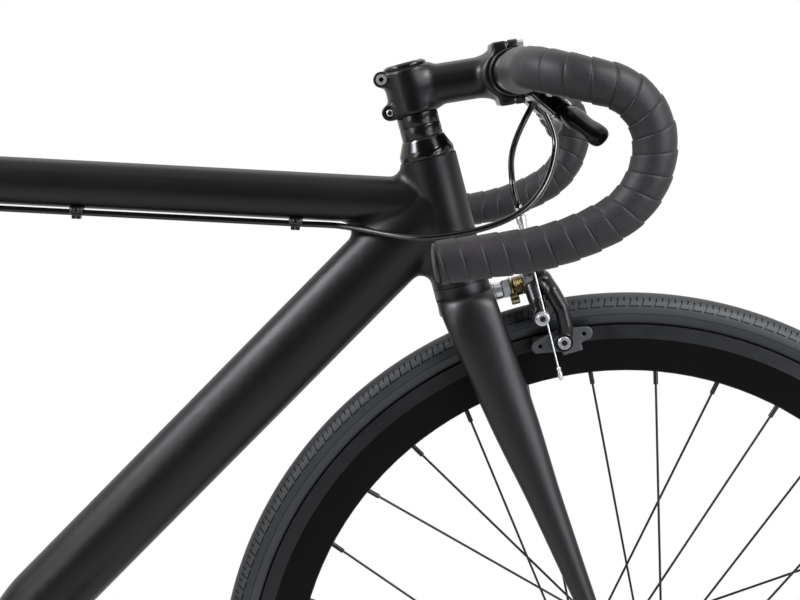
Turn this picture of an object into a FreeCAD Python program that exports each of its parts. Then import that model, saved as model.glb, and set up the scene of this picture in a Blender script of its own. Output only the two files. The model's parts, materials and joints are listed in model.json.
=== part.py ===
# Fixed gear bicycle with drop bars, built piece by piece in one shared frame.
# Millimetres, +X forward, +Y left, +Z up, origin on the ground midway between the axles.
import math
import os
import FreeCAD
import Part

# Layout
tyre_radius = 341.0
head_angle = 75.3
seat_angle = 75.0
fork_rake = 45.0
front_centre = 580.0
bb_drop = 55.0
overrun = 4.0
fit = 0.05
gap = 0.3
joint_gap = 0.5

# Chain drive
chain_pitch = 12.7
ring_teeth = 44
cog_teeth = 16
chain_links = 94
chain_line = 42.0
roller_radius = 3.85
pocket_radius = 4.0
tooth_rise = 2.2
pocket_mouth = 5.6
sprocket_width = 2.8
inner_plate_in = 1.8
outer_plate_in = 3.1
plate_width = 1.0
plate_radius = 4.1
pin_radius = 1.7
bush_bore = 1.85
pin_half = 4.6

# Frame tubes
head_tube_bottom = 373.5
head_tube_top = 479.0
head_tube_radius = 23.2
head_bore_radius = 17.0
bearing_seat_radius = 20.9
bearing_seat_depth = 8.0
top_tube_at = 441.0
top_tube_rise = 3.05
top_tube_radius = 19.3
down_tube_at = 443.0
down_tube_angle = 45.4
down_tube_radius = 30.4
down_tube_straight = 470.0
down_tube_head_half = 22.0
down_tube_mid_half = 27.0
down_tube_shoe_height = 20.0
down_tube_shoe_half_width = 30.0
seat_tube_radius = 16.6
seat_tube_length = 550.0
post_radius = 13.6
tube_wall = 2.2
shell_radius = 21.0
shell_half = 34.0
shell_bore = 17.3
weld_radius = 9.0

# Stays and dropouts
rear_half_spacing = 60.0
dropout_thickness = 7.0
chain_stay_height = 13.0
chain_stay_width = 8.6
chain_stay_root = 25.0
chain_stay_run_shares = (0.02, 0.22, 0.52, 0.90)
chain_stay_side_shares = (0.0, 0.13, 0.47, 1.0)
chain_stay_width_shares = (0.95, 0.88, 0.92, 0.70)
chain_stay_height_shares = (1.05, 1.0, 0.86, 0.66)
seat_stay_radius = 8.0
seat_stay_tip_radius = 6.4
seat_stay_foot = 46.0
seat_stay_head = 512.0
seat_stay_head_side = 15.5
bridge_radius = 7.5
dropout_front = 50.0
dropout_back = 24.0
dropout_top = 42.0
dropout_half = 13.0
slot_front = 8.0
rear_axle_radius = 5.0
slot_clearance = 0.15

# Headset and fork
steerer_radius = 14.3
steerer_bore = 11.4
bearing_height = 7.0
cover_height = 16.5
cover_top_radius = 17.2
cover_base_radius = 22.4
cover_skirt = 5.0
spacer_radius = 16.8
spacer_height = 10.0
crown_top = 373.0
crown_depth = 18.0
blade_top = 330.0
blade_half_width = 22.8
blade_half_thickness = 11.5
blade_lean = 21.8
blade_side_top = 33.0
blade_side_foot = 53.0
blade_drop_shares = (0.0, 0.203, 0.315, 0.43, 0.57, 0.718, 0.86, 0.93)
blade_width_shares = (1.0, 0.895, 0.794, 0.64, 0.509, 0.386, 0.34, 0.33)
blade_thick_shares = (1.0, 0.95, 0.88, 0.8, 0.72, 0.62, 0.52, 0.44)
crown_puck = 22.5
crown_round_shares = ((0.45, 1.0, 1.02),)
fork_half_spacing = 50.0
fork_end_thickness = 6.0
fork_end_half = 11.0
fork_end_top = 36.0
fork_end_below = 10.0
front_axle_radius = 4.5

# Stem
stem_height = 37.0
stem_axis_rise = 20.35
stem_bolt_high = 33.0
stem_bolt_low = 5.7
stem_radius = 20.0
stem_reach = 80.5
stem_drop = 7.92
stem_tube_radius = 16.4
stem_ear_offset = 21.0
stem_ear_radius = 6.4
stem_ear_half = 11.0
stem_slit = 1.6
bolt_radius = 2.4
bolt_head_radius = 4.3
bolt_head_height = 4.6
socket_radius = 2.1
bar_clamp_radius = 20.6
bar_clamp_half = 21.0
face_gap = 1.2
face_bolt_rise = 20.4
face_bolt_side = 14.0
lug_radius = 5.2
face_lug_depth = 8.0
cap_radius = 17.6
cap_height = 4.2
cap_bolt_length = 34.0
star_radius = 11.2
star_thickness = 1.2

# Handlebar
bar_half_width = 194.0
bar_radius = 11.9
bar_bulge_radius = 15.9
bar_bulge_half = 42.0
bar_taper_end = 72.0
bar_wall = 2.2
bar_corner_radius = 45.0
ramp_angle = 13.3
hook_radius = 42.9
ramp_length = 48.7
lower_hook_radius = 58.0
lower_hook_end = 150.0
flare_radius = 169.0
drop_end = 172.5
drop_length = 56.0
tape_start = 70.0
tape_thickness = 3.1
tape_step = 0.45
tape_wraps = 18
tape_lead = 60.0
tape_swell_share = 0.3
tape_lead_thickness = 2.2
tape_wrap_shares = (0.0, 0.32, 0.64, 0.96)
tape_wrap_rise_shares = (0.0, 0.34, 0.67, 1.0)
plug_radius = 13.6
plug_cap = 3.4
plug_dome_radius = 8.0
plug_length = 18.0

# Brake levers
lever_tilt = 39.7
band_start = 22.6
band_end = 36.8
band_radius = 18.6
bracket_start = 20.2
bracket_end = 54.0
bracket_in = 25.0
bracket_mid = 41.0
bracket_out = 58.0
bracket_half = 7.2
cheek = 2.2
lever_pin_at = 46.5
lever_pin_side = 50.0
lever_pin_radius = 2.2
lever_root_radius = 6.0
stop_at = 29.5
exit_side = 4.0
stop_length = 9.0
blade_length = 80.0
blade_flare = 27.5
blade_droop = 2.8
lever_half_width = 8.0
lever_half_depth = 5.0
lever_run_shares = (0.0, 0.13, 0.26, 0.5, 0.78, 0.95, 1.0)
lever_flare_shares = (0.0, 0.06, 0.17, 0.42, 0.78, 0.97, 1.0)
lever_width_shares = (0.5, 0.55, 0.86, 1.0, 1.0, 0.84, 0.5)
lever_depth_shares = (0.7, 0.75, 0.9, 1.0, 1.0, 0.85, 0.5)

# Brake calipers, distances measured from the face each one bolts to
track_radius = 310.3
brake_reach = 49.0
crown_face = 23.6
pad_out = 44.0
arm_back_start = 27.4
arm_layer = 8.2
arm_hub_radius = 11.0
arm_bolt_radius = 3.0
arm_bar_half = 6.0
leg_inner = 23.6
leg_outer = 34.0
leg_end_drop = 8.0
leg_front = 51.0
anchor_side = 29.5
anchor_drop = 25.0
anchor_radius = 5.2
anchor_bolt_radius = 4.2
anchor_bolt_length = 13.0
adjuster_rise = 44.0
adjuster_length = 19.0
adjuster_radius = 4.2
adjuster_head = 6.0
boss_radius = 5.6
brake_wire_radius = 0.8
wire_entry = 2.0
wire_mouth_radius = 2.9
wire_tail = 42.0
wire_cap_radius = 1.4
wire_cap_length = 11.0
anchor_washer = 1.9
spring_block_half = 13.0
spring_block_height = 7.0
spring_block_start = 11.0
spring_block_end = 26.6
star_washer_radius = 8.5
mount_spacer_radius = 6.4
brake_nut_radius = 6.2
brake_nut_length = 6.5
bolt_tail = 4.0
sleeve_nut_radius = 4.6
sleeve_nut_length = 16.0
sleeve_nut_inset = 1.2
pad_length = 54.0
pad_half_height = 5.4
pad_face = 13.0
pad_back = 19.5
holder_back = 23.3
holder_lobe_reach = 21.0
holder_lobe_radius = 5.6
holder_hole_radius = 1.6
pad_stud_radius = 3.0
pad_nut_radius = 5.2
pad_nut_height = 4.4

# Wheels
rim_inner_radius = 275.6
rim_flange_radius = 316.0
track_inner_radius = 304.5
rim_half_width = 11.5
rim_wall = 1.5
rim_apex_half = 3.6
rim_bed_radius = 307.0
rim_lip = 1.7
rim_belly_share = 0.52
rim_belly_width_share = 0.74
tyre_wall = 2.6
tyre_bead_radius = 309.0
tyre_neck_radius = 316.6
tyre_neck_half = 9.4
tyre_bead_taper = 0.2
air_tube_wall = 1.6
valve_radius = 3.0
valve_length = 62.0
valve_from_top = 180.0
spoke_count = 32
spoke_radius = 1.0
spoke_phase = 5.1
cross_turn = 67.5
flange_hole_radius = 32.0
flange_radius = 35.5
flange_half = 1.7
hub_shell_radius = 16.5
front_flange_side = 33.0
rear_flange_side = 31.0
spoke_out_shift = 3.8
spoke_in_shift = 2.9
spoke_head_radius = 1.8
flange_hole = 1.25
nipple_radius = 2.0
nipple_out = 10.5
nipple_in = 2.6
nipple_head_radius = 2.9
bearing_radius = 13.0
hub_bearing_width = 9.0
front_hub_half = 40.0
rear_hub_half = 47.4
hub_core = 9.0
bearing_inset = 1.0
front_axle_tail = 17.0
rear_axle_tail = 19.0
axle_step = 0.5
axle_lead = 1.0
nut_across = 7.5
nut_height = 8.5
washer_radius = 9.5
washer_height = 1.6
cone_radius = 8.0

# Rear cog
cog_seat_radius = 17.4
lockring_radius = 21.0
lockring_width = 4.0
lockring_notch = 3.0

# Crankset and pedals
crank_length = 167.5
spindle_radius = 8.4
spindle_square = 6.3
crank_in = 52.0
crank_thickness = 13.0
crank_boss_radius = 16.0
crank_end_radius = 13.0
crank_waist = 10.5
spider_radius = 65.0
spider_arm_half = 7.0
spider_thickness = 5.0
ring_tab_radius = 9.0
ring_bolt_radius = 4.9
ring_bolt_head = 6.6
ring_bolt_cap = 2.0
ring_bolt_count = 5
crank_bolt_radius = 7.6
crank_bolt_depth = 4.0
cup_radius = 20.4
cup_width = 4.0
pedal_axle_radius = 4.4
pedal_axle_length = 96.0
pedal_start = 8.0
pedal_barrel_radius = 10.5
pedal_barrel_length = 84.0
pedal_half_length = 46.0
pedal_in = 16.0
pedal_width = 66.0
pedal_half_height = 8.5
pedal_rail = 6.0
pedal_pin_radius = 1.8
pedal_pin_height = 3.0

# Seat
post_bottom = 395.0
post_top = 676.0
seat_collar_height = 15.0
seat_collar_radius = 21.0
seat_collar_ear = 24.5
seat_collar_ear_radius = 5.6
seat_collar_ear_half = 10.0
seat_head_half = 16.0
seat_head_radius = 11.5
rail_height = 13.0
rail_radius = 3.5
rail_side = 22.0
rail_run = 62.0
rail_front = 108.0
rail_rear = 96.0
rail_front_side = 9.0
rail_rear_side = 36.0
rail_front_rise = 18.0
rail_rear_rise = 23.0
rail_bend = 22.0
clamp_half_length = 19.0
clamp_thickness = 5.5
clamp_half_width = 29.0
saddle_length = 276.0
saddle_nose = 142.0
saddle_half_width = 69.0
saddle_top = 62.0
saddle_pad_depth = 25.0
saddle_base_depth = 6.0
saddle_base_share = 0.9
saddle_run_shares = (0.0, 0.05, 0.16, 0.34, 0.52, 0.68, 0.82, 0.94, 1.0)
saddle_half_shares = (0.16, 0.25, 0.30, 0.36, 0.56, 0.84, 1.0, 0.93, 0.66)
saddle_crown_shares = (-0.34, -0.2, -0.12, -0.14, -0.12, 0.0, 0.12, 0.15, 0.02)
saddle_depth_shares = (0.5, 0.82, 1.0, 1.05, 1.05, 1.05, 1.05, 0.95, 0.6)
saddle_side_shares = ((0.0, 0.0), (0.34, 0.015), (0.62, 0.09), (0.84, 0.26), (0.97, 0.55), (1.0, 0.76),
                      (0.93, 1.0))

# Brake cables
housing_radius = 2.5
housing_side = 8.0
clip_width = 8.0
clip_wall = 1.8
clip_spots = (111.8, 292.8, 473.8)
clip_standoff = 2.2
cable_span = 100.0
rear_lead_shares = ((0.36, -0.16, -0.60), (0.08, -0.47, -1.07), (-0.65, -0.44, -1.29))
front_lead_shares = ((0.04, -0.06, -0.58),)
clip_lead = 30.0
clip_inset = 48.0
adjuster_lead = 26.0
rear_adjuster_lead = 58.0
rear_pass_drop = 24.0
rear_pass_side = 33.0
rear_pass_fore = 6.0
cable_bend_share = 0.45

UP = FreeCAD.Vector(0, 0, 1)
LEFT = FreeCAD.Vector(0, 1, 0)
FORE = FreeCAD.Vector(1, 0, 0)
ORIGIN = FreeCAD.Vector(0, 0, 0)
oval_points = 16
os.makedirs("parts", exist_ok=True)


def vec(x, y, z):
    return FreeCAD.Vector(x, y, z)


def unit(v):
    return v * (1.0 / v.Length)


def rod(a, b, radius):
    return Part.makeCylinder(radius, (b - a).Length, a, b - a)


def taper(a, b, radius_a, radius_b):
    return Part.makeCone(radius_a, radius_b, (b - a).Length, a, b - a)


def pipe(a, b, outer, inner):
    d = unit(b - a)
    return rod(a, b, outer).cut(rod(a - d * overrun, b + d * overrun, inner))


def joined(shapes):
    return shapes[0].multiFuse(shapes[1:]).removeSplitter()


def prism(points, sweep):
    return Part.Face(Part.makePolygon(points + [points[0]])).extrude(sweep)


def block(corner, along, across, rise):
    points = [corner, corner + along, corner + along + across, corner + across]
    return prism(points, rise)


def hexagon(a, b, radius):
    d = unit(b - a)
    side = unit(d.cross(UP if abs(d.z) < 0.9 else FORE))
    over = d.cross(side)
    turns = [math.radians(60 * k) for k in range(6)]
    points = [a + side * (radius * math.cos(q)) + over * (radius * math.sin(q)) for q in turns]
    return prism(points, b - a)


def oval(centre, half_x, half_y, squareness=1.0):
    points = []
    for k in range(oval_points):
        q = 2 * math.pi * k / oval_points
        cx = math.copysign(abs(math.cos(q)) ** squareness, math.cos(q))
        cy = math.copysign(abs(math.sin(q)) ** squareness, math.sin(q))
        points.append(centre + half_x * cx + half_y * cy)
    curve = Part.BSplineCurve()
    curve.interpolate(points, PeriodicFlag=True)
    return Part.Wire([curve.toShape()])


def ring_wire(centre, normal, radius):
    return Part.Wire([Part.makeCircle(radius, centre, normal)])


def loft(wires, ruled=False):
    return Part.makeLoft(wires, True, ruled)


def turned(profile, centre):
    points = [vec(r, y, 0) for r, y in profile]
    face = Part.Face(Part.makePolygon(points + [points[0]]))
    body = face.revolve(ORIGIN, LEFT, 360)
    body.translate(centre)
    return body


def mirrored(shape):
    return shape.mirror(ORIGIN, LEFT)


def crossing(p, d, q, e):
    det = d.x * e.z - d.z * e.x
    s = ((q.x - p.x) * e.z - (q.z - p.z) * e.x) / det
    return p + d * s


def rounded_path(points, bends):
    # Straight runs joined by tangent arcs, one bend radius for each inner corner.
    edges = []
    start = points[0]
    for k in range(1, len(points) - 1):
        back = unit(points[k - 1] - points[k])
        ahead = unit(points[k + 1] - points[k])
        half = 0.5 * back.getAngle(ahead)
        reach = bends[k - 1] / math.tan(half)
        p = points[k] + back * reach
        q = points[k] + ahead * reach
        inward = unit(back + ahead)
        centre = points[k] + inward * (bends[k - 1] / math.sin(half))
        edges.append(Part.LineSegment(start, p).toShape())
        edges.append(Part.Arc(p, centre - inward * bends[k - 1], q).toShape())
        start = q
    edges.append(Part.LineSegment(start, points[-1]).toShape())
    return Part.Wire(edges)


def swept(path, radius):
    first = path.Edges[0]
    profile = ring_wire(first.valueAt(first.FirstParameter), first.tangentAt(first.FirstParameter), radius)
    return path.makePipeShell([profile], True, False)


def save(name, shapes):
    shape = shapes[0] if len(shapes) == 1 else Part.makeCompound(shapes)
    print(name, "solids", len(shape.Solids), "valid", shape.isValid(), "volume", round(shape.Volume))
    shape.exportStep("parts/" + name + ".step")


# Chain geometry sets how far back the rear axle sits
ring_pitch_radius = chain_pitch / (2 * math.sin(math.pi / ring_teeth))
cog_pitch_radius = chain_pitch / (2 * math.sin(math.pi / cog_teeth))


def links_around(distance):
    lean = math.asin((ring_pitch_radius - cog_pitch_radius) / distance)
    runs = 2 * distance * math.cos(lean) / chain_pitch
    on_ring = (math.pi + 2 * lean) * ring_teeth / (2 * math.pi)
    on_cog = (math.pi - 2 * lean) * cog_teeth / (2 * math.pi)
    return runs + on_ring + on_cog


low = ring_pitch_radius + cog_pitch_radius
high = chain_links * chain_pitch / 2
for step in range(60):
    middle = 0.5 * (low + high)
    if links_around(middle) < chain_links:
        low = middle
    else:
        high = middle
chain_stay = 0.5 * (low + high)
wheelbase = front_centre + math.sqrt(chain_stay ** 2 - bb_drop ** 2)
front_axle_at = vec(wheelbase / 2, 0, tyre_radius)
rear_axle_at = vec(-wheelbase / 2, 0, tyre_radius)
bb = vec(front_axle_at.x - front_centre, 0, tyre_radius - bb_drop)
print("chain stay", round(chain_stay, 3), "wheelbase", round(wheelbase, 3), "bb", bb)

# Directions of the steering axis and the seat tube
head = math.radians(head_angle)
steer_up = vec(-math.cos(head), 0, math.sin(head))
steer_fore = vec(math.sin(head), 0, math.cos(head))
seat = math.radians(seat_angle)
seat_up = vec(-math.cos(seat), 0, math.sin(seat))
seat_back = vec(-math.sin(seat), 0, -math.cos(seat))


def steer(rise, out=0.0, side=0.0):
    return front_axle_at + steer_up * rise + steer_fore * (out - fork_rake) + LEFT * side


# Frame: head, top, down and seat tubes, shell, stays, bridge and track ends in one weldment
top_dir = vec(-math.cos(math.radians(top_tube_rise)), 0, math.sin(math.radians(top_tube_rise)))
down_dir = vec(-math.cos(math.radians(down_tube_angle)), 0, -math.sin(math.radians(down_tube_angle)))
top_start = steer(top_tube_at)
top_end = crossing(top_start, top_dir, bb, seat_up)
down_start = steer(down_tube_at)
seat_end = bb + seat_up * seat_tube_length
head_tube = rod(steer(head_tube_bottom), steer(head_tube_top), head_tube_radius)
top_tube = rod(top_start, top_end, top_tube_radius)
down_bend = down_start + down_dir * down_tube_straight
down_cross = down_dir.cross(LEFT)
down_tube = loft([oval(down_start, down_cross * down_tube_radius, LEFT * down_tube_head_half),
                  oval(down_bend, down_cross * down_tube_radius, LEFT * down_tube_mid_half)])
toward_bb = unit(bb - down_bend)
shoe_cross = toward_bb.cross(LEFT)
shoe_mid = down_bend + (bb - down_bend) * 0.5 + down_cross * (down_tube_radius * -0.06)
down_shoe = loft([
    oval(down_bend, down_cross * down_tube_radius, LEFT * down_tube_mid_half),
    oval(down_bend + down_dir * overrun, down_cross * down_tube_radius, LEFT * down_tube_mid_half),
    oval(shoe_mid, unit(down_cross + shoe_cross) * (0.5 * (down_tube_radius + down_tube_shoe_height)),
         LEFT * down_tube_mid_half),
    oval(bb, shoe_cross * down_tube_shoe_height, LEFT * down_tube_shoe_half_width)])
seat_tube = rod(bb, seat_end, seat_tube_radius)
shell = rod(bb - LEFT * shell_half, bb + LEFT * shell_half, shell_radius)
front_weldment = joined([head_tube, top_tube, down_tube])


def near_head(edge):
    middle = edge.CenterOfMass
    reach = (middle - steer(0.5 * (head_tube_bottom + head_tube_top))).Length
    return reach < 0.5 * (head_tube_top - head_tube_bottom) and edge.Curve.TypeId != "Part::GeomCircle"


weld_edges = [e for e in front_weldment.Edges if near_head(e) and e.Curve.TypeId != "Part::GeomLine"]
front_weldment = front_weldment.makeFillet(weld_radius, weld_edges)
front_weldment.fix(fit, fit, fit)

# Stays run from the shell and seat cluster out to the track ends
stay_side = rear_half_spacing + 0.5 * dropout_thickness
stay_dir = unit(rear_axle_at - bb)
stay_rise = stay_dir.cross(LEFT)
chain_stay_side = stay_side - chain_stay_root
chain_stay_wires = []
for run, side, wide, tall in zip(chain_stay_run_shares, chain_stay_side_shares,
                                 chain_stay_width_shares, chain_stay_height_shares):
    centre = bb + stay_dir * (chain_stay * run) + LEFT * (chain_stay_root + chain_stay_side * side)
    chain_stay_wires.append(oval(centre, stay_rise * (chain_stay_height * tall),
                                 LEFT * (chain_stay_width * wide)))
chain_stay_left = loft(chain_stay_wires)
seat_stay_top = bb + seat_up * seat_stay_head
seat_stay_dir = unit(seat_stay_top - rear_axle_at)
seat_stay_out = vec(-seat_stay_dir.z, 0, seat_stay_dir.x)
foot = rear_axle_at + seat_stay_dir * seat_stay_foot + LEFT * stay_side
seat_stay_left = taper(foot, seat_stay_top + LEFT * seat_stay_head_side, seat_stay_tip_radius,
                       seat_stay_radius)
seat_stay_span = (seat_stay_top - rear_axle_at).Length
end_points = [(dropout_front, -dropout_half), (dropout_front, dropout_half * 0.5),
              (dropout_front * 0.72, dropout_half), (dropout_top * 0.92, dropout_top),
              (dropout_top * 0.28, dropout_top * 1.06), (-dropout_back * 0.2, dropout_half),
              (-dropout_back, dropout_half), (-dropout_back, -dropout_half)]
end_outline = [rear_axle_at + vec(x, rear_half_spacing, z) for x, z in end_points]
track_end_left = prism(end_outline, LEFT * dropout_thickness)
slot_half = rear_axle_radius + slot_clearance
slot_tip = rear_axle_at + FORE * slot_front
slot_tool = rod(slot_tip - LEFT * tyre_radius, slot_tip + LEFT * tyre_radius, slot_half)
slot_corner = slot_tip - LEFT * tyre_radius - UP * slot_half
slot_box = block(slot_corner, FORE * -(slot_front + dropout_back + overrun), UP * (2 * slot_half),
                 LEFT * (2 * tyre_radius))

# Brake positions: each mounting bolt sits one reach above the middle of the brake track
front_pad_fore = crown_face + pad_out - fork_rake
front_bolt_rise = math.sqrt(track_radius ** 2 - front_pad_fore ** 2) + brake_reach
rear_pad_fore = bridge_radius + pad_out
rear_bolt_rise = math.sqrt(track_radius ** 2 - rear_pad_fore ** 2) + brake_reach
bridge_at = rear_axle_at + seat_stay_dir * rear_bolt_rise
bridge_share = (rear_bolt_rise - seat_stay_foot) / (seat_stay_span - seat_stay_foot)
bridge_half = stay_side + (seat_stay_head_side - stay_side) * bridge_share
bridge = rod(bridge_at - LEFT * bridge_half, bridge_at + LEFT * bridge_half, bridge_radius)

half_stays = joined([chain_stay_left, seat_stay_left, track_end_left])
frame = joined([front_weldment, down_shoe, seat_tube, shell, half_stays, mirrored(half_stays), bridge])
hollows = [
    rod(steer(head_tube_bottom - overrun), steer(head_tube_top + overrun), head_bore_radius),
    rod(steer(head_tube_bottom - overrun), steer(head_tube_bottom + bearing_seat_depth),
        bearing_seat_radius),
    rod(steer(head_tube_top - bearing_seat_depth), steer(head_tube_top + overrun), bearing_seat_radius),
    rod(bb + seat_up * (shell_radius + tube_wall), seat_end + seat_up * overrun, post_radius + fit),
    rod(bb - LEFT * (shell_half + overrun), bb + LEFT * (shell_half + overrun), shell_bore),
    rod(top_start + top_dir * (2 * head_tube_radius), top_end - top_dir * (2 * seat_tube_radius),
        top_tube_radius - tube_wall),
    loft([oval(down_start + down_dir * (2.9 * head_tube_radius),
               down_cross * (down_tube_radius - tube_wall),
               LEFT * (down_tube_head_half - tube_wall)),
          oval(down_bend, down_cross * (down_tube_radius - tube_wall),
               LEFT * (down_tube_mid_half - tube_wall))]),
    slot_tool, slot_box,
    rod(bridge_at - seat_stay_out * (2 * bridge_radius), bridge_at + seat_stay_out * (2 * bridge_radius),
        arm_bolt_radius + fit)]
for hollow in hollows:
    frame = frame.cut(hollow)
save("frame", [frame])

# Headset: two cartridge bearings pressed into the head tube, a cover and spacers on the steerer
lower_bearing = pipe(steer(head_tube_bottom + joint_gap),
                     steer(head_tube_bottom + joint_gap + bearing_height),
                     bearing_seat_radius - fit, steerer_radius + fit)
upper_bearing = pipe(steer(head_tube_top - joint_gap - bearing_height), steer(head_tube_top - joint_gap),
                     bearing_seat_radius - fit, steerer_radius + fit)
save("headset_bearings", [lower_bearing, upper_bearing])

cover_base = head_tube_top + joint_gap
cover_waist = cover_base + cover_skirt
headset_cover = joined([rod(steer(cover_base), steer(cover_waist), cover_base_radius),
                        taper(steer(cover_waist), steer(cover_base + cover_height), cover_base_radius,
                              cover_top_radius)])
headset_cover = headset_cover.cut(rod(steer(cover_base - overrun),
                                      steer(cover_base + cover_height + overrun), steerer_radius + fit))
save("headset_cover", [headset_cover])
spacer_base = cover_base + cover_height
spacers = [pipe(steer(spacer_base + k * spacer_height), steer(spacer_base + (k + 1) * spacer_height),
                spacer_radius, steerer_radius + fit) for k in range(2)]
save("headset_spacers", spacers)
stem_base = spacer_base + 2 * spacer_height

# Fork: steerer, smooth crown and two straight tapered blades with forged ends
lean = math.radians(blade_lean)
blade_down = vec(math.sin(lean), 0, -math.cos(lean))
blade_cross = vec(math.cos(lean), 0, math.sin(lean))
blade_wires = []
for drop, round_x, round_y in crown_round_shares:
    side = blade_side_top * drop
    centre = steer(crown_top - crown_depth * drop, 0, side)
    blade_wires.append(oval(centre, steer_fore * (head_tube_radius * round_x),
                            LEFT * (head_tube_radius * round_y)))
for drop, wide, thick in zip(blade_drop_shares, blade_width_shares, blade_thick_shares):
    side = blade_side_top + (blade_side_foot - blade_side_top) * drop
    rise = blade_top * (1 - drop)
    centre = front_axle_at + vec(-rise * math.tan(lean), side, rise)
    blade_wires.append(oval(centre, blade_cross * (blade_half_width * wide),
                            LEFT * (blade_half_thickness * thick)))
blade_left = loft(blade_wires)
end_low = front_axle_at + blade_down * fork_end_below + LEFT * fork_half_spacing
end_high = front_axle_at - blade_down * fork_end_top + LEFT * fork_half_spacing
fork_end = prism([end_low - blade_cross * fork_end_half, end_low + blade_cross * fork_end_half,
                  end_high + blade_cross * (0.5 * fork_end_half),
                  end_high - blade_cross * (0.5 * fork_end_half)],
                 LEFT * fork_end_thickness)
blade_left = joined([blade_left, fork_end])
steerer = rod(steer(crown_top - 0.5 * crown_puck), steer(stem_base + stem_height - joint_gap * 4),
              steerer_radius)
crown = rod(steer(crown_top - crown_puck), steer(crown_top), head_tube_radius)
fork = joined([crown, blade_left, mirrored(blade_left)])
fork = joined([fork, steerer])
fork = fork.cut(rod(steer(crown_top - crown_depth * 0.2), steer(stem_base + stem_height), steerer_bore))
fork = fork.cut(rod(steer(front_bolt_rise, -2 * head_tube_radius),
                    steer(front_bolt_rise, 2 * head_tube_radius),
                    arm_bolt_radius + fit))
sleeve_end = sleeve_nut_inset + sleeve_nut_length + fit - head_tube_radius
fork = fork.cut(rod(steer(front_bolt_rise, -2 * head_tube_radius), steer(front_bolt_rise, sleeve_end),
                    sleeve_nut_radius + fit))
fork_face = block(steer(front_bolt_rise - star_washer_radius * 1.3, crown_face, -star_washer_radius * 1.3),
                  steer_up * (star_washer_radius * 2.6), LEFT * (star_washer_radius * 2.6),
                  steer_fore * head_tube_radius)
fork = fork.cut(fork_face)
slot_half = front_axle_radius + slot_clearance
slot_side = LEFT * (2 * fork_half_spacing)
fork = fork.cut(rod(front_axle_at - slot_side, front_axle_at + slot_side, slot_half))
fork = fork.cut(block(front_axle_at - slot_side - blade_cross * slot_half, blade_cross * (2 * slot_half),
                      slot_side * 2, blade_down * (fork_end_below + overrun)))
save("fork", [fork])

# Stem, face plate, bolts and top cap
bar_centre = steer(stem_base + stem_axis_rise - stem_drop, stem_reach)
stem_axis_at = steer(stem_base + stem_axis_rise)
stem_dir = unit(bar_centre - stem_axis_at)
stem_cross = stem_dir.cross(LEFT) * -1
stem_top = stem_base + stem_height
stem_parts = [rod(steer(stem_base), steer(stem_top), stem_radius),
              rod(stem_axis_at, bar_centre, stem_tube_radius),
              rod(bar_centre - LEFT * bar_clamp_half, bar_centre + LEFT * bar_clamp_half, bar_clamp_radius)]
stem_bolt_rises = (stem_base + stem_bolt_high, stem_base + stem_bolt_low)
for rise in stem_bolt_rises:
    ear_at = steer(rise, -stem_ear_offset)
    stem_parts.append(rod(ear_at - LEFT * stem_ear_half, ear_at + LEFT * stem_ear_half, stem_ear_radius))
    stem_parts.append(block(steer(rise - stem_ear_radius, -stem_ear_offset, -stem_ear_half),
                            steer_up * (2 * stem_ear_radius), LEFT * (2 * stem_ear_half),
                            steer_fore * stem_ear_offset))
for rise in (face_bolt_rise, -face_bolt_rise):
    for side in (face_bolt_side, -face_bolt_side):
        lug = bar_centre + stem_cross * rise + LEFT * side
        stem_parts.append(rod(lug - stem_dir * face_lug_depth, lug, lug_radius))
stem = joined(stem_parts)
face_corner = bar_centre - stem_cross * (2 * stem_radius) - LEFT * (2 * stem_radius)
front_half = block(face_corner - stem_dir * (0.5 * face_gap),
                   stem_cross * (4 * stem_radius), LEFT * (4 * stem_radius), stem_dir * (2 * stem_radius))
bar_hole = rod(bar_centre - LEFT * (2 * stem_radius), bar_centre + LEFT * (2 * stem_radius),
               bar_bulge_radius + fit)
stem = stem.cut(front_half).cut(bar_hole)
stem = stem.cut(rod(steer(stem_base - overrun), steer(stem_top + overrun), steerer_radius + fit))
stem = stem.cut(rod(steer(stem_base - overrun), steer(stem_base), spacer_radius + gap))
stem = stem.cut(rod(steer(stem_top), steer(stem_top + overrun), cap_radius + gap))
slit_depth = stem_ear_offset + 2 * stem_ear_radius
stem = stem.cut(block(steer(stem_base - overrun, -slit_depth, -0.5 * stem_slit),
                      steer_up * (stem_height + 2 * overrun), LEFT * stem_slit, steer_fore * slit_depth))
face_plate = rod(bar_centre - LEFT * bar_clamp_half, bar_centre + LEFT * bar_clamp_half, bar_clamp_radius)
face_lugs = [face_plate]
stem_bolts = []
bolt_holes = []
head_seats = []
for rise in (face_bolt_rise, -face_bolt_rise):
    for side in (face_bolt_side, -face_bolt_side):
        lug = bar_centre + stem_cross * rise + LEFT * side
        face_lugs.append(rod(lug, lug + stem_dir * face_lug_depth, lug_radius))
        head_at = lug + stem_dir * (face_lug_depth + fit)
        bolt = joined([rod(lug - stem_dir * (face_lug_depth - fit), head_at, bolt_radius),
                       rod(head_at, head_at + stem_dir * bolt_head_height, bolt_head_radius)])
        top = head_at + stem_dir * bolt_head_height
        head_seats.append(rod(head_at - stem_dir * fit, top + stem_dir * overrun, bolt_head_radius + fit))
        stem_bolts.append(bolt.cut(hexagon(top - stem_dir * (0.6 * bolt_head_height), top + stem_dir * fit,
                                           socket_radius)))
        bolt_holes.append(rod(lug - stem_dir * (face_lug_depth + overrun), head_at, bolt_radius + fit))
face_plate = joined(face_lugs)
for seat in head_seats:
    face_plate = face_plate.cut(seat)
rear_half = block(face_corner + stem_dir * (0.5 * face_gap),
                  stem_cross * (4 * stem_radius), LEFT * (4 * stem_radius), stem_dir * (-2 * stem_radius))
face_plate = face_plate.cut(rear_half).cut(bar_hole)
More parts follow.
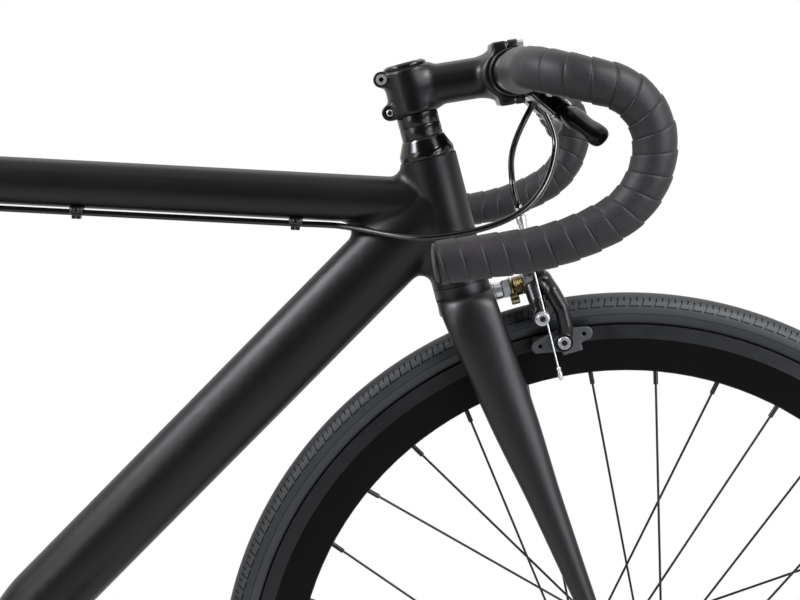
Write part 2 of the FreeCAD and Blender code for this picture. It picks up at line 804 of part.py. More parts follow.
for turn, rise in zip((1, -1), stem_bolt_rises):
    ear_at = steer(rise, -stem_ear_offset)
    head_side = LEFT * (-turn)
    head_at = ear_at + head_side * (stem_ear_half + fit)
    bolt = joined([rod(ear_at - head_side * (stem_ear_half + joint_gap), head_at, bolt_radius),
                   rod(head_at, head_at + head_side * bolt_head_height, bolt_head_radius)])
    top = head_at + head_side * bolt_head_height
    stem_bolts.append(bolt.cut(hexagon(top - head_side * (0.6 * bolt_head_height), top + head_side * fit,
                                       socket_radius)))
    bolt_holes.append(rod(ear_at - LEFT * (2 * stem_ear_half), ear_at + LEFT * (2 * stem_ear_half),
                          bolt_radius + fit))
for hole in bolt_holes:
    stem = stem.cut(hole)
    face_plate = face_plate.cut(hole)
save("stem", [stem])
save("stem_faceplate", [face_plate])
cap_base = stem_top + fit
cap_hole = rod(steer(cap_base - overrun), steer(cap_base + cap_height + overrun), bolt_radius + fit)
cap_sink = rod(steer(cap_base + 0.5 * cap_height), steer(cap_base + cap_height + overrun),
               bolt_head_radius + fit)
top_cap = joined([rod(steer(cap_base), steer(cap_base + 0.6 * cap_height), cap_radius),
                  taper(steer(cap_base + 0.6 * cap_height), steer(cap_base + cap_height), cap_radius,
                        0.86 * cap_radius)])
save("top_cap", [top_cap.cut(cap_hole).cut(cap_sink)])
cap_bolt_top = cap_base + 0.9 * cap_height
cap_bolt_seat = cap_base + 0.5 * cap_height + fit
cap_bolt = joined([rod(steer(cap_bolt_top - cap_bolt_length), steer(cap_bolt_top), bolt_radius),
                   rod(steer(cap_bolt_seat), steer(cap_bolt_top), bolt_head_radius),
                   rod(steer(cap_bolt_top - cap_bolt_length),
                       steer(cap_bolt_top - cap_bolt_length + star_thickness),
                       star_radius)])
cap_bolt = cap_bolt.cut(hexagon(steer(cap_bolt_seat), steer(cap_bolt_top + fit), socket_radius))
save("stem_bolts", stem_bolts + [cap_bolt])

# Handlebar: bulged centre, corner, ramp, hook and drop, mirrored about the middle
ramp = math.radians(ramp_angle)


def bar_heading(turn):
    return vec(math.cos(math.radians(turn)), 0, -math.sin(math.radians(turn)))


def hook_arc(start, turn_a, turn_b, radius):
    normal_a = vec(-math.sin(math.radians(turn_a)), 0, -math.cos(math.radians(turn_a)))
    centre = start + normal_a * radius

    def at(turn):
        q = math.radians(turn)
        return centre - vec(-math.sin(q), 0, -math.cos(q)) * radius

    return Part.Arc(at(turn_a), at(0.5 * (turn_a + turn_b)), at(turn_b)).toShape(), at(turn_b)


corner_in = bar_centre - LEFT * (bar_half_width - bar_corner_radius)
ramp_dir = bar_heading(ramp_angle)
corner_centre = corner_in + ramp_dir * bar_corner_radius
corner_mid = corner_centre - unit(ramp_dir + LEFT) * bar_corner_radius
corner_out = corner_centre - LEFT * bar_corner_radius
ramp_end = corner_out + ramp_dir * (ramp_length - bar_corner_radius)
upper_hook, hook_front = hook_arc(ramp_end, ramp_angle, 90, hook_radius)
lower_hook, hook_low = hook_arc(hook_front, 90, lower_hook_end, lower_hook_radius)
flare, drop_start = hook_arc(hook_low, lower_hook_end, drop_end, flare_radius)
drop_tip = drop_start + bar_heading(drop_end) * drop_length
bar_start = bar_centre - LEFT * bar_taper_end
bar_edges = [Part.LineSegment(bar_start, corner_in).toShape(),
             Part.Arc(corner_in, corner_mid, corner_out).toShape(),
             Part.LineSegment(corner_out, ramp_end).toShape(), upper_hook, lower_hook, flare,
             Part.LineSegment(drop_start, drop_tip).toShape()]
bar_path = Part.Wire(bar_edges)
bar_bulge_end = bar_centre - LEFT * bar_bulge_half


def half_bar(shrink):
    return joined([rod(bar_centre, bar_bulge_end, bar_bulge_radius - shrink),
                   taper(bar_bulge_end, bar_start, bar_bulge_radius - shrink, bar_radius - shrink),
                   swept(bar_path, bar_radius - shrink)])


right_bar = half_bar(0).cut(half_bar(bar_wall))
save("handlebar", [joined([right_bar, mirrored(right_bar)])])

# Bar tape: overlapping wraps from beside the stem to the end of each drop
tape_edges = [Part.LineSegment(bar_centre - LEFT * tape_start, bar_start).toShape()] + bar_edges
tape_total = sum(e.Length for e in tape_edges)


def along_bar(distance):
    for edge in tape_edges:
        if distance <= edge.Length or edge is tape_edges[-1]:
            par = edge.getParameterByLength(min(distance, edge.Length))
            return edge.valueAt(par), edge.tangentAt(par)
        distance -= edge.Length


def bar_ring(point, heading, radius):
    # Two half circles that start on the same side of the bar all the way along
    if heading.dot(LEFT) < -fit:
        above = ramp_dir.cross(LEFT) * radius
    else:
        above = unit(heading.cross(LEFT)) * radius
    beside = heading.cross(above)
    return Part.Wire([Part.Arc(point + above, point + beside, point - above).toShape(),
                      Part.Arc(point - above, point - beside, point + above).toShape()])


def bar_size(distance):
    side = tape_start + distance
    share = min(1.0, max(0.0, (side - bar_bulge_half) / (bar_taper_end - bar_bulge_half)))
    return bar_bulge_radius + (bar_radius - bar_bulge_radius) * share


wrap_pitch = tape_total / tape_wraps
outer_rings = []
inner_rings = []
for wrap in range(tape_wraps):
    for run, lift in zip(tape_wrap_shares, tape_wrap_rise_shares):
        distance = wrap_pitch * (wrap + run)
        point, heading = along_bar(distance)
        size = bar_size(distance)
        swell = min(distance / (tape_lead * tape_swell_share),
                    max(0.0, 1 - distance / tape_lead) / (1 - tape_swell_share))
        cover = tape_thickness + tape_step * lift + tape_lead_thickness * swell
        outer_rings.append(bar_ring(point, heading, size + cover))
        inner_rings.append(bar_ring(point, heading, size + gap))
point, heading = along_bar(tape_total)
outer_rings.append(bar_ring(point, heading, bar_radius + tape_thickness))
inner_rings.append(bar_ring(point, heading, bar_radius + gap))
tape_right = loft(outer_rings, True).cut(loft(inner_rings, True))
save("bar_tape_right", [tape_right])
save("bar_tape_left", [mirrored(tape_right)])
drop_dir = bar_heading(drop_end)
plug_at = drop_tip + drop_dir * fit
plug_right = joined([rod(plug_at, plug_at + drop_dir * (0.6 * plug_cap), plug_radius),
                     taper(plug_at + drop_dir * (0.6 * plug_cap), plug_at + drop_dir * plug_cap,
                           plug_radius,
                           plug_dome_radius),
                     rod(plug_at - drop_dir * plug_length, plug_at, bar_radius - bar_wall - fit)])
save("bar_end_plugs", [plug_right, mirrored(plug_right)])

# Brake levers: band and bracket on the bar, blade on a pin
tilt = math.radians(lever_tilt)
lever_out = vec(math.cos(tilt), 0, -math.sin(tilt))
lever_up = vec(math.sin(tilt), 0, math.cos(tilt))


def lever_at(out, up, side):
    return bar_centre + lever_out * out + lever_up * up - LEFT * side


band = pipe(lever_at(0, 0, band_start), lever_at(0, 0, band_end), band_radius, bar_bulge_radius + fit)
bracket_block = block(lever_at(bracket_start, -bracket_half, bracket_in),
                      lever_out * (bracket_end - bracket_start),
                      lever_up * (2 * bracket_half), LEFT * -(bracket_out - bracket_in))
bridge_block = block(lever_at(bar_bulge_radius + fit, -bracket_half, bracket_in),
                     lever_out * (bracket_start - bar_bulge_radius), lever_up * (2 * bracket_half),
                     LEFT * -(band_end - bracket_in))
lever_slot = block(lever_at(bracket_start - overrun, cheek - bracket_half, bracket_mid),
                   lever_out * (bracket_end - bracket_start + 2 * overrun),
                   lever_up * (2 * (bracket_half - cheek)),
                   LEFT * -(bracket_out - bracket_mid + overrun))
cable_hole = rod(lever_at(stop_at, 0, bracket_in - overrun), lever_at(stop_at, 0, bracket_mid + overrun),
                 housing_radius + fit)
lever_pin_low = lever_at(lever_pin_at, -bracket_half, lever_pin_side)
lever_pin_high = lever_at(lever_pin_at, bracket_half, lever_pin_side)
bracket = joined([band, bracket_block, bridge_block]).cut(lever_slot).cut(cable_hole)
bracket = bracket.cut(rod(lever_at(0, 0, band_start - overrun), lever_at(0, 0, bracket_out),
                          bar_bulge_radius + fit))
bracket = bracket.cut(rod(lever_pin_low - lever_up * overrun, lever_pin_high + lever_up * overrun,
                          lever_pin_radius))
lever_pin = rod(lever_pin_low, lever_pin_high, lever_pin_radius)
save("brake_lever_bracket_right", [bracket, lever_pin])
save("brake_lever_bracket_left", [mirrored(bracket), mirrored(lever_pin)])
root_half = bracket_half - cheek - gap
root_hub = rod(lever_at(lever_pin_at, -root_half, lever_pin_side),
               lever_at(lever_pin_at, root_half, lever_pin_side),
               lever_root_radius)
blade_wires = []
for run, rise, wide, deep in zip(lever_run_shares, lever_flare_shares, lever_width_shares,
                                 lever_depth_shares):
    centre = lever_at(lever_pin_at + blade_flare * rise, -blade_droop * rise,
                      lever_pin_side + blade_length * run)
    blade_wires.append(oval(centre, lever_up * (lever_half_width * wide),
                            lever_out * (lever_half_depth * deep), 0.8))
lever_blade = joined([root_hub, loft(blade_wires)])
lever_blade = lever_blade.cut(rod(lever_pin_low - lever_up * overrun, lever_pin_high + lever_up * overrun,
                                  lever_pin_radius + fit))
save("brake_lever_right", [lever_blade])
save("brake_lever_left", [mirrored(lever_blade)])


# Brake calipers: built once beside the bolt, x toward the cable, y up, z toward the mount
def cal(side, rise, out):
    return vec(side, rise, -out)


def strut(points, half, out_a, out_b):
    bodies = []
    for p, q in zip(points, points[1:]):
        d = unit(vec(q[0] - p[0], q[1] - p[1], 0))
        n = vec(-d.y, d.x, 0) * half
        a = cal(p[0], p[1], out_a)
        b = cal(q[0], q[1], out_a)
        bodies.append(prism([a - n, b - n, b + n, a + n], vec(0, 0, out_a - out_b)))
    for p in points:
        bodies.append(rod(cal(p[0], p[1], out_a), cal(p[0], p[1], out_b), half))
    return joined(bodies)


arm_front_start = arm_back_start + arm_layer + gap
arm_front_end = arm_front_start + arm_layer
leg_mid = 0.5 * (leg_inner + leg_outer)
leg_half = 0.5 * (leg_outer - leg_inner)
leg_tip = -brake_reach - leg_end_drop + leg_half
anchor_out = arm_back_start + 0.5 * arm_layer
wire_out = anchor_out + bolt_radius + brake_wire_radius + fit
wire_side = anchor_side + anchor_radius + brake_wire_radius + fit


def caliper(pad_fore, mount_depth, recessed):
    hub_back = rod(cal(0, 0, arm_back_start), cal(0, 0, arm_back_start + arm_layer), arm_hub_radius)
    hub_front = rod(cal(0, 0, arm_front_start), cal(0, 0, arm_front_end), arm_hub_radius)
    bolt_hole = rod(cal(0, 0, 0), cal(0, 0, leg_front + overrun), arm_bolt_radius + fit)
    stud_hole_far = rod(cal(-leg_outer - overrun, -brake_reach, pad_out), cal(0, -brake_reach, pad_out),
                        pad_stud_radius + fit)
    stud_hole_near = rod(cal(0, -brake_reach, pad_out), cal(leg_outer + overrun, -brake_reach, pad_out),
                         pad_stud_radius + fit)
    anchor_arm = joined([
        hub_back,
        strut([(0, 0), (anchor_side * 0.72, -anchor_radius * 0.4), (anchor_side, -anchor_drop)],
              anchor_radius,
              arm_back_start, arm_back_start + arm_layer),
        strut([(0, 0), (-leg_mid, 0)], arm_bar_half, arm_back_start, arm_back_start + arm_layer),
        strut([(-leg_mid, 0), (-leg_mid, leg_tip)], leg_half, arm_back_start, leg_front)])
    shank = rod(cal(anchor_side - anchor_radius, -anchor_drop, anchor_out),
                cal(anchor_side + anchor_bolt_length, -anchor_drop, anchor_out), bolt_radius)
    anchor_arm = anchor_arm.cut(bolt_hole).cut(stud_hole_far).cut(rod(
        cal(0, -anchor_drop, anchor_out), cal(anchor_side + anchor_bolt_length, -anchor_drop, anchor_out),
        bolt_radius + fit))
    head_from = wire_side + brake_wire_radius + fit
    anchor_bolt = joined([shank, rod(cal(head_from, -anchor_drop, anchor_out),
                                     cal(head_from + anchor_washer, -anchor_drop,
                                         anchor_out), anchor_radius),
                          rod(cal(head_from, -anchor_drop, anchor_out),
                              cal(head_from + anchor_washer + bolt_head_height, -anchor_drop, anchor_out),
                              anchor_bolt_radius)])
    boss_from = adjuster_rise - 0.5 * adjuster_length
    boss_foot = boss_from - arm_bar_half
    wire_low = -anchor_drop - wire_tail
    brake_wire = joined([rod(cal(wire_side, boss_foot + wire_entry, wire_out),
                             cal(wire_side, wire_low, wire_out),
                             brake_wire_radius),
                         rod(cal(wire_side, wire_low, wire_out),
                             cal(wire_side, wire_low - wire_cap_length, wire_out),
                             wire_cap_radius)])
    yoke = strut([(0, 0), (leg_mid, 0), (wire_side, boss_from)], arm_bar_half, arm_front_start,
                 arm_front_end)
    boss = rod(cal(wire_side, boss_foot, wire_out), cal(wire_side, boss_from + arm_bar_half, wire_out),
               boss_radius)
    leg = strut([(leg_mid, -joint_gap), (leg_mid, leg_tip)], leg_half, arm_front_start, leg_front)
    cable_arm = joined([hub_front, yoke]).fuse(leg).fuse(boss)
    wire_hole = rod(cal(wire_side, 0, wire_out), cal(wire_side, adjuster_rise * 2, wire_out),
                    brake_wire_radius + gap)
    wire_mouth = rod(cal(wire_side, boss_foot - overrun, wire_out), cal(wire_side, boss_from, wire_out),
                     wire_mouth_radius)
    adjuster_base = boss_from + arm_bar_half
    adjuster_top = adjuster_base + adjuster_length
    adjuster = joined([rod(cal(wire_side, adjuster_base, wire_out), cal(wire_side, adjuster_top, wire_out),
                           adjuster_radius * 0.8),
                       rod(cal(wire_side, adjuster_base, wire_out),
                           cal(wire_side, adjuster_base + adjuster_head, wire_out), adjuster_radius * 1.25),
                       rod(cal(wire_side, adjuster_top - adjuster_head, wire_out),
                           cal(wire_side, adjuster_top, wire_out), adjuster_radius)]).cut(wire_hole)
    cable_arm = cable_arm.cut(bolt_hole).cut(stud_hole_near).cut(wire_hole).cut(wire_mouth)
    swing = math.asin(pad_fore / track_radius)
    tangent = vec(0, -math.sin(swing), -math.cos(swing))
    radial = vec(0, math.cos(swing), -math.sin(swing))
    shoes = []
    for hand in (1, -1):
        inward = vec(hand, 0, 0)
        corner = cal(hand * pad_face, -brake_reach,
                     pad_out) - tangent * (0.5 * pad_length) - radial * pad_half_height
        pad = block(corner, tangent * pad_length, radial * (2 * pad_half_height),
                    inward * (pad_back - pad_face))
        seat_at = cal(hand * pad_back, -brake_reach, pad_out)
        deep = inward * (holder_back - pad_back)
        lobe = tangent * holder_lobe_reach
        corner = seat_at - lobe - radial * holder_lobe_radius
        holder = joined([block(corner, lobe * 2, radial * (2 * holder_lobe_radius), deep),
                         rod(seat_at - lobe, seat_at - lobe + deep, holder_lobe_radius),
                         rod(seat_at + lobe, seat_at + lobe + deep, holder_lobe_radius)])
        for end in (seat_at - lobe, seat_at + lobe):
            holder = holder.cut(rod(end, end + deep * 2, holder_hole_radius))
        stud_end = leg_outer + fit + pad_nut_height
        stud = rod(cal(hand * pad_back, -brake_reach, pad_out), cal(hand * stud_end, -brake_reach, pad_out),
                   pad_stud_radius)
        nut = rod(cal(hand * (leg_outer + fit), -brake_reach, pad_out),
                  cal(hand * stud_end, -brake_reach, pad_out),
                  pad_nut_radius)
        nut = nut.cut(hexagon(cal(hand * (leg_outer + 0.5 * pad_nut_height), -brake_reach, pad_out),
                              cal(hand * (stud_end + fit), -brake_reach, pad_out), socket_radius))
        stud = stud.cut(hexagon(cal(hand * (leg_outer + 0.5 * pad_nut_height), -brake_reach, pad_out),
                                cal(hand * (stud_end + fit), -brake_reach, pad_out), socket_radius))
        shoes.append(joined([pad, holder, stud, nut]))
    nut_from = arm_front_end + gap
    if recessed:
        nut_end = sleeve_nut_inset - mount_depth
        tail = nut_end + 0.5 * sleeve_nut_length
        rear_nut = rod(cal(0, 0, nut_end), cal(0, 0, nut_end + sleeve_nut_length), sleeve_nut_radius)
        rear_nut = rear_nut.cut(hexagon(cal(0, 0, nut_end - fit),
                                        cal(0, 0, nut_end + 0.4 * sleeve_nut_length),
                                        socket_radius))
    else:
        nut_end = -mount_depth - gap - brake_nut_length
        tail = nut_end - bolt_tail
        rear_nut = hexagon(cal(0, 0, -mount_depth - gap), cal(0, 0, nut_end), brake_nut_radius)
    bolt = rod(cal(0, 0, tail), cal(0, 0, nut_from + 2 * brake_nut_length), arm_bolt_radius)
    front_nut = hexagon(cal(0, 0, nut_from), cal(0, 0, nut_from + brake_nut_length), brake_nut_radius)
    star = rod(cal(0, 0, fit), cal(0, 0, 2 * joint_gap), star_washer_radius)
    sleeve = rod(cal(0, 0, joint_gap), cal(0, 0, spring_block_start), mount_spacer_radius)
    spring_block = block(cal(-spring_block_half, -spring_block_height * 0.5, spring_block_start),
                         vec(2 * spring_block_half, 0, 0), vec(0, spring_block_height * 1.5, 0),
                         vec(0, 0, spring_block_start - spring_block_end))
    mount = joined([bolt, front_nut, rear_nut, star, sleeve, spring_block])
    return {"mount": [mount], "cable_arm": [cable_arm, adjuster],
            "anchor_arm": [anchor_arm, anchor_bolt, brake_wire],
            "cable_shoe": [shoes[0]], "anchor_shoe": [shoes[1]]}


def placed(shapes, origin, x_dir, y_dir):
    z_dir = x_dir.cross(y_dir)
    matrix = FreeCAD.Matrix(x_dir.x, y_dir.x, z_dir.x, origin.x, x_dir.y, y_dir.y, z_dir.y, origin.y,
                            x_dir.z, y_dir.z, z_dir.z, origin.z, 0, 0, 0, 1)
    moved = []
    for shape in shapes:
        body = shape.copy()
        body.Placement = FreeCAD.Placement(matrix)
        moved.append(body)
    return moved


front_mount = steer(front_bolt_rise, crown_face)
front_brake = caliper(front_pad_fore, crown_face + head_tube_radius, True)
rear_mount = bridge_at + seat_stay_out * bridge_radius
rear_brake = caliper(rear_pad_fore, 2 * bridge_radius, False)
front_names = {"mount": "front_brake_bolt", "cable_arm": "front_brake_arm_right",
               "anchor_arm": "front_brake_arm_left",
               "cable_shoe": "front_brake_shoe_right", "anchor_shoe": "front_brake_shoe_left"}
rear_names = {"mount": "rear_brake_bolt", "cable_arm": "rear_brake_arm_left",
              "anchor_arm": "rear_brake_arm_right",
              "cable_shoe": "rear_brake_shoe_left", "anchor_shoe": "rear_brake_shoe_right"}
for key in front_names:
    save(front_names[key], placed(front_brake[key], front_mount, LEFT * -1, steer_up))
    save(rear_names[key], placed(rear_brake[key], rear_mount, LEFT, seat_stay_dir))

# Wheels: deep rim, tyre, air tube with valve, crossed spokes and large flange hub
neck_gap = tyre_radius - tyre_neck_radius
tyre_round = (tyre_radius ** 2 - tyre_neck_radius ** 2 - tyre_neck_half ** 2) / (2 * neck_gap)
tyre_section = tyre_radius - tyre_round
belly_radius = rim_inner_radius + (track_inner_radius - rim_inner_radius) * rim_belly_share
belly_half = rim_half_width * rim_belly_width_share


def arc(a, b, c):
    return Part.Arc(vec(a[0], a[1], 0), vec(b[0], b[1], 0), vec(c[0], c[1], 0)).toShape()


def line(a, b):
    return Part.LineSegment(vec(a[0], a[1], 0), vec(b[0], b[1], 0)).toShape()


def flip(p):
    return (p[0], -p[1])


def spun(edges):
    return Part.Face(Part.Wire(edges)).revolve(ORIGIN, LEFT, 360)


edge_out = (rim_flange_radius, rim_half_width)
edge_track = (track_inner_radius, rim_half_width)
edge_belly = (belly_radius, belly_half)
edge_apex = (rim_inner_radius + rim_wall, rim_apex_half)
apex = (rim_inner_radius, 0)
lip = (rim_flange_radius, rim_half_width - rim_lip)
bed = (rim_bed_radius, rim_half_width - rim_lip)
rim_solid = spun([line(edge_out, edge_track), arc(edge_track, edge_belly, edge_apex),
                  arc(edge_apex, apex, flip(edge_apex)),
                  arc(flip(edge_apex), flip(edge_belly), flip(edge_track)), line(flip(edge_track),
                                                                                 flip(edge_out)),
                  line(flip(edge_out), flip(lip)), line(flip(lip), flip(bed)), line(flip(bed),
                                                                                    bed), line(bed, lip),
                  line(lip, edge_out)])
hollow_top = rim_bed_radius - rim_wall
hollow_points = [(hollow_top, rim_half_width - rim_wall), (track_inner_radius, rim_half_width - rim_wall),
                 (belly_radius, belly_half - 1.2 * rim_wall), (rim_inner_radius + 3 * rim_wall,
                                                               0.3 * rim_apex_half)]
rim_hollow = turned(hollow_points + [flip(p) for p in reversed(hollow_points)], ORIGIN)
neck = (tyre_neck_radius, tyre_neck_half)
inner_neck = (tyre_round + (tyre_neck_radius - tyre_round) * (tyre_section - tyre_wall) / tyre_section,
              tyre_neck_half * (tyre_section - tyre_wall) / tyre_section)
bead_out = (tyre_bead_radius, tyre_neck_half - tyre_bead_taper)
bead_in = (tyre_bead_radius, tyre_neck_half - tyre_bead_taper - tyre_wall)
tyre_body = spun([arc(neck, (tyre_radius, 0), flip(neck)), line(flip(neck), flip(bead_out)),
                  line(flip(bead_out), flip(bead_in)), line(flip(bead_in), flip(inner_neck)),
                  arc(flip(inner_neck), (tyre_radius - tyre_wall, 0), inner_neck), line(inner_neck,
                                                                                        bead_in),
                  line(bead_in, bead_out), line(bead_out, neck)])
air_radius = tyre_section - tyre_wall - gap
air_tube = Part.makeTorus(tyre_round, air_radius, ORIGIN, LEFT)
air_tube = air_tube.cut(Part.makeTorus(tyre_round, air_radius - air_tube_wall, ORIGIN, LEFT))


def around(turn, radius, side):
    q = math.radians(turn)
    return vec(radius * math.sin(q), side, radius * math.cos(q))


valve_turn = valve_from_top + spoke_phase + 180.0 / spoke_count
valve_top = around(valve_turn, tyre_round - air_radius + 0.5 * air_tube_wall, 0)
valve_tip = around(valve_turn, rim_inner_radius - valve_length * 0.5, 0)
air_tube = joined([air_tube, rod(valve_tip, valve_top, valve_radius)])
valve_hole = rod(valve_tip, around(valve_turn, tyre_radius, 0), valve_radius + fit)


def wheel(flange_side, hub_half, right_seat):
    spokes = []
    rim_holes = []
    hub_holes = []
    for k in range(spoke_count):
        turn = spoke_phase + 360.0 * k / spoke_count
        hand = -1 if k % 2 == 0 else 1
        sense = 1 if k % 4 in (0, 3) else -1
        shift = spoke_out_shift if sense > 0 else -spoke_in_shift
        bend = around(turn + sense * cross_turn, flange_hole_radius, hand * (flange_side + shift))
        seat_at = around(turn, rim_inner_radius + nipple_in, hand * nipple_in * 0.4)
        d = unit(seat_at - bend)
        nipple_start = seat_at - d * (nipple_out + nipple_in)
        head_side = -1 if sense > 0 else 1
        flange_face = hand * (flange_side + head_side * (flange_half + fit))
        head_in = vec(bend.x, flange_face, bend.z)
        head_out = vec(bend.x, flange_face + hand * head_side * spoke_radius, bend.z)
        spokes.append(joined([rod(head_out, bend, spoke_radius), rod(head_in, head_out, spoke_head_radius),
                              Part.makeSphere(spoke_radius, bend), rod(bend, nipple_start, spoke_radius),
                              rod(nipple_start, seat_at, nipple_radius),
                              rod(seat_at, seat_at + d * nipple_in, nipple_head_radius)]))
        rim_holes.append(rod(nipple_start, seat_at, nipple_radius + fit))
        rim_holes.append(rod(seat_at - d * fit, seat_at + d * (nipple_in + fit), nipple_head_radius + fit))
        hub_holes.append(rod(vec(bend.x, hand * (flange_side - 2 * flange_half), bend.z),
                             vec(bend.x, hand * (flange_side + 2 * flange_half), bend.z), flange_hole))
    rim = rim_solid.cut(rim_hollow).cut(valve_hole)
    rim = rim.cut(Part.makeCompound(rim_holes[0::2])).cut(Part.makeCompound(rim_holes[1::2]))
    inner = flange_side - flange_half
    outer = flange_side + flange_half
    seat_in = hub_half - bearing_inset - hub_bearing_width
    bore = bearing_radius + fit
    right_radius = cog_seat_radius if right_seat else hub_shell_radius
    profile = [(hub_core, -seat_in), (bore, -seat_in), (bore, -hub_half), (right_radius, -hub_half),
               (right_radius, -outer), (flange_radius, -outer), (flange_radius, -inner), (hub_shell_radius,
                                                                                          -inner),
               (hub_shell_radius, inner), (flange_radius, inner), (flange_radius, outer), (hub_shell_radius,
                                                                                           outer),
               (hub_shell_radius, hub_half), (bore, hub_half), (bore, seat_in), (hub_core, seat_in)]
    hub = turned(profile, ORIGIN).cut(Part.makeCompound(hub_holes))
    return rim, spokes, hub


def axle_set(radius, half, plate, tail, hub_half):
    end = half + plate + tail
    nut_out = half + plate + fit + washer_height + nut_height
    stub = radius - axle_step
    lead = LEFT * (nut_out + axle_lead)
    pieces = [joined([rod(LEFT * -nut_out, LEFT * nut_out, radius), rod(LEFT * -end, LEFT * end, stub),
                      taper(LEFT * nut_out, lead, radius, stub),
                      taper(LEFT * -nut_out, lead * -1, radius, stub)])]
    for hand in (1, -1):
        out = LEFT * hand
        bearing_out = hub_half - bearing_inset
        pieces.append(pipe(out * (bearing_out - hub_bearing_width), out * bearing_out, bearing_radius,
                           radius + fit))
        pieces.append(pipe(out * (bearing_out + fit), out * (half - fit), cone_radius, radius + fit))
        face = half + plate + fit
        pieces.append(pipe(out * face, out * (face + washer_height), washer_radius, radius + fit))
        nut = hexagon(out * (face + washer_height + fit), out * (face + washer_height + nut_height),
                      nut_across)
        pieces.append(nut.cut(rod(out * face, out * end, radius + fit)))
    return pieces


def shifted(shapes, centre):
    moved = []
    for shape in shapes:
        body = shape.copy()
        body.translate(centre)
        moved.append(body)
    return moved


front_wheel = wheel(front_flange_side, front_hub_half, False)
rear_wheel = wheel(rear_flange_side, rear_hub_half, True)
for name, parts, centre in (("front", front_wheel, front_axle_at), ("rear", rear_wheel, rear_axle_at)):
    save(name + "_rim", shifted([parts[0]], centre))
    save(name + "_spokes", shifted(parts[1], centre))
    save(name + "_hub_shell", shifted([parts[2]], centre))
    save(name + "_tyre", shifted([tyre_body], centre))
    save(name + "_inner_tube", shifted([air_tube], centre))
save("front_axle", shifted(axle_set(front_axle_radius, fork_half_spacing, fork_end_thickness,
                                    front_axle_tail,
                                    front_hub_half), front_axle_at))
save("rear_axle", shifted(axle_set(rear_axle_radius, rear_half_spacing, dropout_thickness, rear_axle_tail,
                                   rear_hub_half), rear_axle_at))

# Chain loop: rollers stepped around ring and cog
chain_back = unit(rear_axle_at - bb)
chain_up = LEFT.cross(chain_back) * -1
if chain_up.z < 0:
    chain_up = chain_up * -1
chain_lean = math.asin((ring_pitch_radius - cog_pitch_radius) / chain_stay)
run_links = chain_stay * math.cos(chain_lean) / chain_pitch
cog_links = (math.pi - 2 * chain_lean) * cog_teeth / (2 * math.pi)
chain_plane = LEFT * -chain_line


def spoke_dir(turn):
    return chain_back * math.sin(turn) + chain_up * math.cos(turn)


def roller_at(count):
    if count <= run_links:
        start = bb + spoke_dir(chain_lean) * ring_pitch_radius
        end = rear_axle_at + spoke_dir(chain_lean) * cog_pitch_radius
        return start + (end - start) * (count / run_links)
    count -= run_links
    if count <= cog_links:
        return rear_axle_at + spoke_dir(chain_lean + 2 * math.pi * count / cog_teeth) * cog_pitch_radius
    count -= cog_links
    if count <= run_links:
        start = rear_axle_at + spoke_dir(math.pi - chain_lean) * cog_pitch_radius
        end = bb + spoke_dir(math.pi - chain_lean) * ring_pitch_radius
        return start + (end - start) * (count / run_links)
    count -= run_links
    return bb + spoke_dir(math.pi - chain_lean + 2 * math.pi * count / ring_teeth) * ring_pitch_radius


def link_plate(inside, outside, radius):
    bodies = []
    for hand in (1, -1):
        a = vec(0, hand * inside, 0)
        sweep = vec(0, hand * (outside - inside), 0)
        web = vec(0, 0, radius * 0.8)
        middle = prism([a - web, a + FORE * chain_pitch - web, a + FORE * chain_pitch + web, a + web],
                       sweep)
        ends = [rod(a + FORE * x, a + FORE * x + sweep, radius) for x in (0, chain_pitch)]
        bodies.append(joined([middle] + ends))
    return bodies


inner_plates = link_plate(inner_plate_in, inner_plate_in + plate_width, plate_radius)
rollers = [rod(vec(x, -inner_plate_in, 0), vec(x, inner_plate_in, 0), roller_radius) for x in (0,
                                                                                               chain_pitch)]
inner_link = joined(inner_plates + rollers)
for x in (0, chain_pitch):
    inner_link = inner_link.cut(rod(vec(x, -pin_half, 0), vec(x, pin_half, 0), bush_bore))
outer_plates = link_plate(outer_plate_in, outer_plate_in + plate_width, plate_radius)
pins = [rod(vec(x, -pin_half, 0), vec(x, pin_half, 0), pin_radius) for x in (0, chain_pitch)]
outer_link = joined(outer_plates + pins)
chain = []
for k in range(chain_links):
    here = roller_at(k)
    ahead = roller_at((k + 1) % chain_links)
    d = unit(ahead - here)
    middle = (here + ahead) * 0.5 - d * (0.5 * chain_pitch) + chain_plane
    body = (inner_link if k % 2 == 0 else outer_link).copy()
    body.Placement = FreeCAD.Placement(FreeCAD.Matrix(d.x, 0, -d.z, middle.x, 0, 1, 0, middle.y,
                                                      d.z, 0, d.x, middle.z, 0, 0, 0, 1))
    chain.append(body)
save("chain", chain)


# Sprockets: pockets sit exactly where the chain's rollers lie
def sprocket(centre, teeth, pitch_radius, first_turn):
    tip = pitch_radius + tooth_rise
    disc = rod(centre - LEFT * (0.5 * sprocket_width), centre + LEFT * (0.5 * sprocket_width), tip)
    pockets = []
    for k in range(teeth):
        turn = first_turn + 2 * math.pi * k / teeth
        d = spoke_dir(turn)
        n = spoke_dir(turn + 0.5 * math.pi)
        seat_at = centre + d * pitch_radius - LEFT * sprocket_width
        mouth = seat_at + d * (tooth_rise + overrun)
        a = seat_at + n * pocket_radius
        b = seat_at - n * pocket_radius
        wide = n * (pocket_mouth * (1 + overrun / pitch_radius))
        edges = [Part.Arc(a, seat_at - d * pocket_radius, b).toShape(),
                 Part.LineSegment(b, mouth - wide).toShape(),
                 Part.LineSegment(mouth - wide, mouth + wide).toShape(), Part.LineSegment(mouth + wide,
                                                                                          a).toShape()]
        pockets.append(Part.Face(Part.Wire(edges)).extrude(LEFT * (2 * sprocket_width)))
    return disc.cut(Part.makeCompound(pockets))


